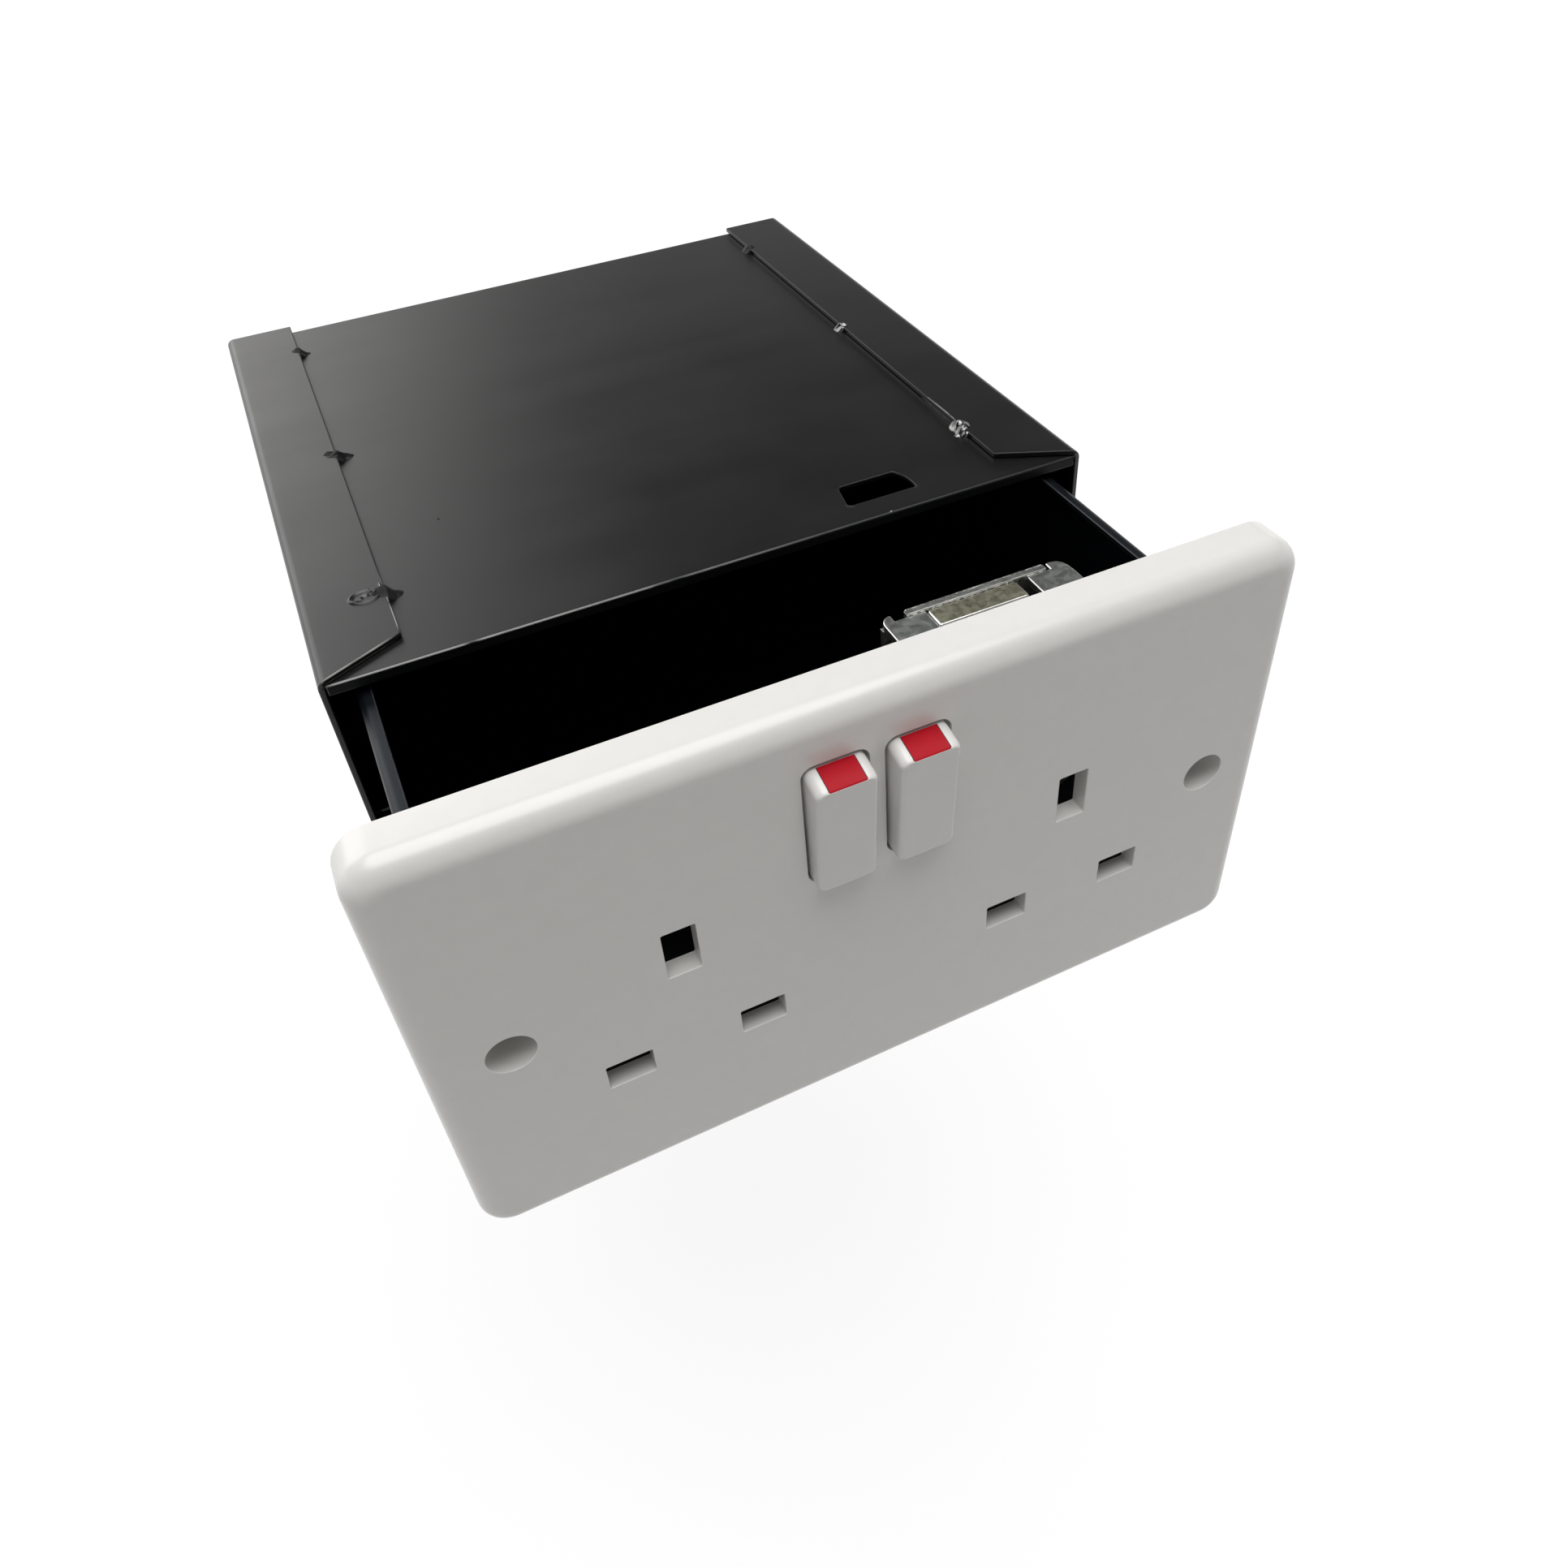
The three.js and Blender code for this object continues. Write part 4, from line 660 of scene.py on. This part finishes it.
# Rockers: drawn about the pivot as sections at depths, with a red inlay in the top end and a dark
# strip round it that is painted shade
def rocker(side, pivot_x):
    tilt, pivot_y, pivot_z = math.radians(4.25), PLATE_Y + 3.2, 22.1
    front, back, half, low, high = -6.6, 2.0, 4.8, -10.8, 11.75
    crease, shelf, step, corner, least_corner = 11.1, -2.6, 0.02, 1.5, 0.12
    soft, soft_top = 0.9, 0.35     # the front edge's rounding, and its share at the top
    stub_radius, stub_reach = 1.2, 5.8
    inlay_half, line_half, inlay_drop = 2.85, 2.98, 0.33

    def placed(x, y, z):
        return (pivot_x + x, pivot_y + y * math.cos(tilt) - z * math.sin(tilt),
                pivot_z + y * math.sin(tilt) + z * math.cos(tilt))

    def shelf_z(y):
        """Height of the sloping top end at a depth."""
        return crease + (y - front) / (shelf - front) * (high - step - crease)

    def section(y, shrink):
        """The outline at one depth, smaller where the front edge rounds over."""
        top = min(shelf_z(max(y, front)), high) - shrink * soft_top
        x, bottom = half - shrink, low + shrink
        r = max(least_corner, corner - shrink)
        points = arc((x - r, top - r), r, 0, 90, 8)
        points += arc((r - x, top - r), r, 90, 180, 8)
        points += arc((r - x, bottom + r), r, 180, 270, 8)
        points += arc((x - r, bottom + r), r, 270, 360, 8)
        return [placed(x, y, z) for x, z in points]

    form = Form()
    depths = [(front, soft)]
    depths += [(front + soft * (1 - math.cos(a)), soft * (1 - math.sin(a)))
               for a in quarter(12, 7)]
    depths += [(y, 0.0) for y in span_of(front + soft + 0.3, shelf, 8)]
    depths += [(-1.0, 0.0), (back, 0.0)]
    loops = [form.ring(section(y, shrink)) for y, shrink in depths]
    form.rings(loops)
    form.fill(loops[0], FROM_FRONT)
    form.fill(loops[-1], FROM_FRONT)
    form.prism(*([placed(x, y, z) for y, z in circle((0, 0), stub_radius, 24)]
                 for x in (-stub_reach, stub_reach)))
    name = "rocker_%s_moulding" % side
    piece = add_piece(name, form.mesh(name), "rocker_" + side, [ROCKER_WHITE],
                      ["rocker_" + side])
    weigh_normals(piece)

    # The second row is a wider, lower strip in dark red that shows round the inlay: a painted
    # shade for the groove
    for name, reach, proud, material, slot, nodes in (
            ("rocker_%s_inlay", inlay_half, 0.035, RED, "marker_red", ["rocker_%s_marker" % side]),
            ("rocker_%s_inlay_line", line_half, 0.012, GROOVE_SHADE, "rocker_white", [])):
        lower = crease - inlay_drop - (reach - inlay_half)
        # Up the front, over the crease, back along the shelf and down inside
        outline = [(front + 0.1 - proud, lower), (front + 0.06 - proud, crease - 0.24),
                   (front + 0.3 - proud, shelf_z(front + 0.3) + proud * 0.6),
                   (-4.4, shelf_z(-4.4) + proud), (shelf, shelf_z(shelf) + proud),
                   (-2.2, high + proud), (-2.2, lower)]
        inlay = Form()
        inlay.prism(*([placed(x, y, z) for y, z in outline] for x in (-reach, reach)))
        name = name % side
        piece = add_piece(name, inlay.mesh(name, sharp=60.0), "rocker_" + side, [material],
                          nodes)
        weigh_normals(piece)


# Lock: the bolt, the fixed block that fills the rear of the window, and the cover's folded lip
def lock_works():
    body = (24.1, PLATE_Y + 13.8, 21.5), (40.1, PLATE_Y + 25.5, 25.6)
    tongue = (26.1, PLATE_Y + 15.65, 25.3), (34.7, PLATE_Y + 20.15, 28.4)
    lip = (20.3, PLATE_Y + 30.45, 27.2), (46.6, PLATE_Y + 31.95, 28.38)
    form = Form()
    form.block(*body)
    form.block(*tongue)
    piece = add_piece("lock_bolt_block", form.mesh("lock_bolt_block"), "lock_bolt",
                      [ZINC, NICKEL_EDGE], ["lock_bolt"])
    round_edges(piece, 0.3, segments=3, kind=EDGE)

    centre, half, corner = (32.15, PLATE_Y + 28.1), (8.5, 2.3), 0.45
    form = Form()
    rings = []
    for z, inset in ((22.0, 0.0), (27.6, 0.0), (27.8, 0.08), (27.95, 0.2), (28.0, 0.35)):
        rings.append(form.level(z, round_box(centre, (half[0] - inset, half[1] - inset),
                                             corner - inset * 0.5, 5)))
    form.rings(rings[:2])
    form.rings(rings[1:], EDGE)
    form.fill(rings[0], FROM_ABOVE)
    form.fill(rings[-1], FROM_ABOVE)
    piece = add_piece("lock_window_block", form.mesh("lock_window_block", sharp=50.0), "drawer",
                      [ZINC, NICKEL_EDGE])
    weigh_normals(piece)

    form = Form()
    form.block(*lip)
    piece = add_piece("lock_cover_lip", form.mesh("lock_cover_lip"), "drawer",
                      [LIP_METAL, NICKEL_EDGE])
    round_edges(piece, 0.16, kind=EDGE)


# Spot welds: low, lumpy beads over the seams between the flanges and the top sheet
def weld(name, centre, reach, material, bumps, rims=()):
    """A bead as heights over an oval.

    Bumps are (x, y, width, depth, turn, height) and rims (x, y, width, depth, thickness, height),
    both from the oval's centre.
    """
    seam_x, seam_width, sheet_z, flange_rise = 53.9, 1.6, 30.87, 1.12
    foot_z, outline_dip, rings, parts = 30.2, 0.3, 26, 64
    side = math.copysign(1.0, centre[0])

    def height(x, y, edge):
        """Height at a place; edge goes from 0 in the oval's centre to 1 at its outline."""
        across = min(1.0, max(0.0, (side * (centre[0] + x) - seam_x) / seam_width))
        step = sheet_z + flange_rise * across * across * (3 - 2 * across)
        lift = 0.0
        for bx, by, width, depth, turn, rise in bumps:
            dx, dy = x - bx, y - by
            c, s = math.cos(math.radians(turn)), math.sin(math.radians(turn))
            u, v = (dx * c + dy * s) / width, (dy * c - dx * s) / depth
            lift += rise * math.exp(-(u * u + v * v))
        for bx, by, width, depth, thickness, rise in rims:
            away = (math.hypot((x - bx) / width, (y - by) / depth) - 1.0) / thickness
            lift += rise * math.exp(-away * away)
        return step + lift * (1 - edge ** 6) - outline_dip * edge ** 8

    form = Form()
    loops = []
    for radius in [math.sqrt(k / rings) for k in range(1, rings + 1)]:
        points = []
        for x, y in circle((0, 0), 1.0, parts):
            px, py = x * radius * reach[0], y * radius * reach[1]
            points.append((centre[0] + px, centre[1] + py, height(px, py, radius)))
        loops.append(form.ring(points))
    form.fill(loops[0], FROM_ABOVE)
    form.rings(loops)
    foot = form.level(foot_z, [form.points[i].xy for i in loops[-1]])
    form.bridge(loops[-1], foot)
    form.fill(foot, FROM_ABOVE)
    piece = add_piece(name, form.mesh(name, sharp=60.0), "case", [material])
    weigh_normals(piece)


WELDS = (
    ("weld_left_front_crater", (-59.0, -120.3), (3.4, 2.7), CASE_PAINT,
     ((-0.1, 0.1, 2.0, 0.3, 30, 0.3), (0.9, 0.7, 0.7, 0.5, 0, 0.16)),
     ((0.0, 0.0, 2.55, 1.9, 0.19, 0.34),)),
    ("weld_left_front", (-55.3, -120.4), (2.9, 2.0), WELD_DARK,
     ((0.4, -0.1, 1.9, 1.0, 0, 0.95), (-1.6, 0.5, 0.8, 0.7, 30, 0.5),
      (-0.3, 0.9, 0.9, 0.5, 20, 0.5))),
    ("weld_left_front_spike", (-56.0, -118.1), (0.6, 1.2), WELD_METAL,
     ((0.0, 0.0, 0.3, 0.7, -20, 0.45),)),
    ("weld_left_middle", (-55.3, -68.0), (3.4, 2.3), WELD_DARK,
     ((1.3, -0.2, 1.5, 0.75, 0, 0.85), (0.1, -0.5, 1.3, 0.4, 5, 0.5),
      (-1.7, 0.9, 0.8, 0.4, 10, 0.5))),
    ("weld_left_rear", (-55.3, -15.0), (2.6, 2.0), WELD_DARK,
     ((-0.3, 0.6, 0.9, 0.8, 0, 0.6), (0.9, -0.2, 1.1, 0.5, 10, 0.5))),
    ("weld_right_front", (55.2, -121.0), (2.6, 2.9), WELD_METAL,
     ((0.3, 0.7, 1.15, 1.1, 0, 0.85), (-0.5, -1.1, 1.3, 0.45, 20, 0.5),
      (0.9, -0.9, 0.6, 0.6, 0, 0.3))),
    ("weld_right_middle", (55.4, -68.2), (2.3, 1.4), WELD_METAL,
     ((0.2, 0.0, 1.4, 0.35, -35, 0.5),)),
    ("weld_right_rear", (55.4, -15.2), (2.4, 1.8), WELD_DARK,
     ((0.0, 0.0, 1.1, 0.5, -20, 0.4), (0.7, -0.3, 0.5, 0.4, 0, 0.2))),
    ("seam_run_right", (55.74, -112.6), (0.2, 8.0), WELD_METAL,
     ((0.0, -2.0, 0.2, 4.6, 0, 0.18),)),
    ("hem_nib", (30.6, -139.55), (0.6, 0.25), WELD_METAL, ((0.0, 0.0, 0.4, 0.2, 0, 0.12),)),
    ("top_speck", (-42.5, -100.5), (0.4, 0.55), WELD_DARK, ((0.0, 0.0, 0.3, 0.4, 0, 0.12),)),
)


# Pieces that take a CAD node's form and finish it: merged, with flat faces whole and rounded edges
def tidy_copy(node):
    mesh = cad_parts[node].data.copy()
    mesh.materials.clear()
    form = bmesh.new()
    form.from_mesh(mesh)
    bmesh.ops.remove_doubles(form, verts=form.verts, dist=2e-6)
    bmesh.ops.dissolve_limit(form, angle_limit=math.radians(0.3), verts=form.verts,
                             edges=form.edges)
    for face in form.faces:
        face.smooth = True
        face.material_index = MAIN
    for edge in form.edges:
        edge.smooth = True
    form.to_mesh(mesh)
    form.free()
    for layer in ("custom_normal", "sharp_face", "sharp_edge"):
        if layer in mesh.attributes:
            mesh.attributes.remove(mesh.attributes[layer])
    return mesh


def dressed(node, name, body, slot, materials, width):
    piece = add_piece(name, tidy_copy(node), body, materials, [node])
    round_edges(piece, width, angle=30.0, kind=EDGE if len(materials) > 1 else None, clamp=True)


# CAD node, piece, body, slot, materials and the rounding of its edges
DRESSED = (
    ("guide_rail_left", "guide_rail_left_channel", "case", "case_paint", [CASE_PAINT], 0.15),
    ("guide_rail_right", "guide_rail_right_channel", "case", "case_paint", [CASE_PAINT], 0.15),
    ("drawer_front_panel", "drawer_front_panel_sheet", "drawer", "drawer_paint",
     [DRAWER_PAINT_AND_SHADE], 0.15),
    ("drawer_back_panel", "drawer_back_panel_sheet", "drawer", "drawer_paint",
     [DRAWER_PAINT_AND_SHADE], 0.15),
    ("lock_top_plate", "lock_top_plate_sheet", "drawer", "lock_nickel",
     [NICKEL, NICKEL_EDGE], 0.25),
    ("lock_back_cover", "lock_back_cover_sheet", "drawer", "lock_nickel",
     [NICKEL, NICKEL_EDGE], 0.2),
    ("lock_housing", "lock_housing_block", "drawer", "lock_nickel", [NICKEL], 0.2),
)


# CAD nodes that stay as they are and get a better material
CARRIED = {
    "lock_sleeve": STEEL, "lock_plug": STEEL, "lock_nut": FASTENER, "lock_cam": FASTENER,
    "lock_fixing_screw_left": FASTENER, "lock_fixing_screw_right": FASTENER,
    **{"faceplate_screw_%d" % index: FASTENER for index in range(1, 5)},
    **{"lock_cover_rivet_%d" % index: FASTENER for index in range(1, 5)},
}


def carried(node, material):
    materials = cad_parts[node].data.materials
    for index in range(len(materials)):
        materials[index] = material
    if not materials:
        materials.append(material)


case_wrap()
case_top_back()
for row in WELDS:
    weld(*row)
drawer_tray()
faceplate()
for side, pivot_x in ROCKER_X.items():
    rocker(side, pivot_x)
for row in DRESSED:
    dressed(*row)
lock_works()
for node, material in CARRIED.items():
    carried(node, material)


# Floor and sky
def seen_directly(tree):
    """1 for camera, glossy and transmission rays, which see the white background."""
    path = tree.nodes.new("ShaderNodeLightPath")
    direct = tree.larger(path.outputs["Is Camera Ray"], path.outputs["Is Glossy Ray"])
    return tree.larger(direct, path.outputs["Is Transmission Ray"])


def floor():
    """A pale floor that looks white in the picture and keeps some of the object's shadow."""
    reach, place, roughness, glow_share = 40.0, (0.0, -0.1, -0.25), 0.9, 0.85
    pale_dark, pale_light, white = (0.32, 0.32, 0.32), (0.33, 0.33, 0.33), (0.97, 0.97, 0.97)
    mesh = bpy.data.meshes.new("floor")
    mesh.from_pydata([(-reach, -reach, 0), (reach, -reach, 0), (reach, reach, 0),
                      (-reach, reach, 0)], [], [(0, 1, 2, 3)])
    plane = bpy.data.objects.new("floor", mesh)
    plane.location = place
    bpy.context.scene.collection.objects.link(plane)
    tree = Tree("floor_white")
    direct = seen_directly(tree)
    pale = tree.mix(tree.noise(3.0), pale_dark, pale_light)
    tree.finish(tree.mix(direct, pale, white), roughness, Specular_IOR_Level=0.0)
    glow = tree.nodes.new("ShaderNodeEmission")
    glow.inputs["Color"].default_value = (1.0, 1.0, 1.0, 1.0)
    glow.inputs["Strength"].default_value = 1.0
    blend = tree.nodes.new("ShaderNodeMixShader")
    tree.links.new(tree.times(direct, glow_share), blend.inputs["Fac"])
    tree.links.new(tree.shader.outputs["BSDF"], blend.inputs[1])
    tree.links.new(glow.outputs["Emission"], blend.inputs[2])
    tree.links.new(blend.outputs["Shader"], tree.nodes["Material Output"].inputs["Surface"])
    tree.material.cycles.emission_sampling = "NONE"
    mesh.materials.append(tree.material)


class Sky(Tree):
    """The world's node tree, with the same helpers as a material's."""

    def __init__(self):
        world = bpy.data.worlds.new("studio")
        bpy.context.scene.world = world
        world.use_nodes = True
        self.nodes, self.links = world.node_tree.nodes, world.node_tree.links
        self.place = self.nodes.new("ShaderNodeTexCoord").outputs["Generated"]


# The sky's lights, in a ray's direction (x, y, z): each RISE or FALL is a range of z, where 0 is
# level and 1 straight up, FRONT_TO_REAR is a range of y, and the softbox's sides are in degrees
# from +Y towards +X
HORIZON, HORIZON_RISE = (0.52, 0.03), (0.17, 0.45)
FRONT_OVERHEAD, FRONT_RISE = 0.7, (0.74, 0.86)
REAR_OVERHEAD, REAR_RISE = 0.05, (0.58, 0.76)
FRONT_TO_REAR = (-0.3, 0.3)
ZENITH, ZENITH_RISE = 4.5, (0.87, 0.93)
SOFTBOX, SOFTBOX_RISE, SOFTBOX_FALL = 2.5, (0.08, 0.22), (0.62, 0.74)
SOFTBOX_LEFT, SOFTBOX_RIGHT = (-60.0, -40.0), (-10.0, 14.0)
BACKDROP_FALL = (0.2, 0.33)
WARM, NEUTRAL, NEUTRAL_RISE = (1.0, 0.975, 0.935), (1.0, 1.0, 1.0), (0.2, 0.6)


def sky():
    tree = Sky()
    x, y, z = (tree.axis(index) for index in range(3))
    azimuth = tree.combined("ARCTAN2", x, y)
    horizon = tree.span(z, *HORIZON_RISE, *HORIZON)
    front = tree.times(tree.span(z, *FRONT_RISE),
                       tree.span(y, *FRONT_TO_REAR, FRONT_OVERHEAD, 0.0))
    rear = tree.times(tree.span(z, *REAR_RISE), tree.span(y, *FRONT_TO_REAR, 0.0, REAR_OVERHEAD))
    zenith = tree.times(tree.span(z, *ZENITH_RISE), ZENITH)
    overhead = tree.plus(tree.plus(front, rear), zenith)
    sides = [[math.radians(v) for v in side] for side in (SOFTBOX_LEFT, SOFTBOX_RIGHT)]
    box = tree.times(tree.window(azimuth, *sides), tree.window(z, SOFTBOX_RISE, SOFTBOX_FALL))
    box = tree.times(box, SOFTBOX)
    level = tree.plus(tree.plus(horizon, overhead), box)
    backdrop = tree.times(seen_directly(tree), tree.falling(z, *BACKDROP_FALL))
    level = tree.larger(level, backdrop)
    neutral = tree.larger(tree.span(z, *NEUTRAL_RISE), backdrop)
    background = tree.nodes["Background"]
    tree.links.new(level, background.inputs["Strength"])
    tree.links.new(tree.mix(neutral, WARM, NEUTRAL), background.inputs["Color"])


floor()
sky()


# Camera: placed by the photograph's own perspective
def camera():
    data = bpy.data.cameras.new("camera")
    data.sensor_fit = "HORIZONTAL"
    data.sensor_width = 36.0
    data.lens = 29.04
    data.shift_x = -0.0176
    data.shift_y = -0.06
    data.clip_start = 0.01
    data.clip_end = 100.0
    seen = bpy.data.objects.new("camera", data)
    azimuth, elevation, roll = (math.radians(v) for v in (-22.4, 40.572, -4.129))
    back = Vector((math.sin(azimuth) * math.cos(elevation),
                   -math.cos(azimuth) * math.cos(elevation), math.sin(elevation)))
    right = (-back).cross(Vector((0, 0, 1))).normalized()
    up = right.cross(-back)
    turned_right = math.cos(roll) * right + math.sin(roll) * up
    turned_up = -math.sin(roll) * right + math.cos(roll) * up
    place = Matrix((turned_right, turned_up, back)).transposed().to_4x4()
    place.translation = Vector((-0.057503, -0.309896, 0.154010))
    seen.matrix_world = place
    bpy.context.scene.collection.objects.link(seen)
    bpy.context.scene.camera = seen


camera()
bpy.context.scene.view_settings.view_transform = "Standard"
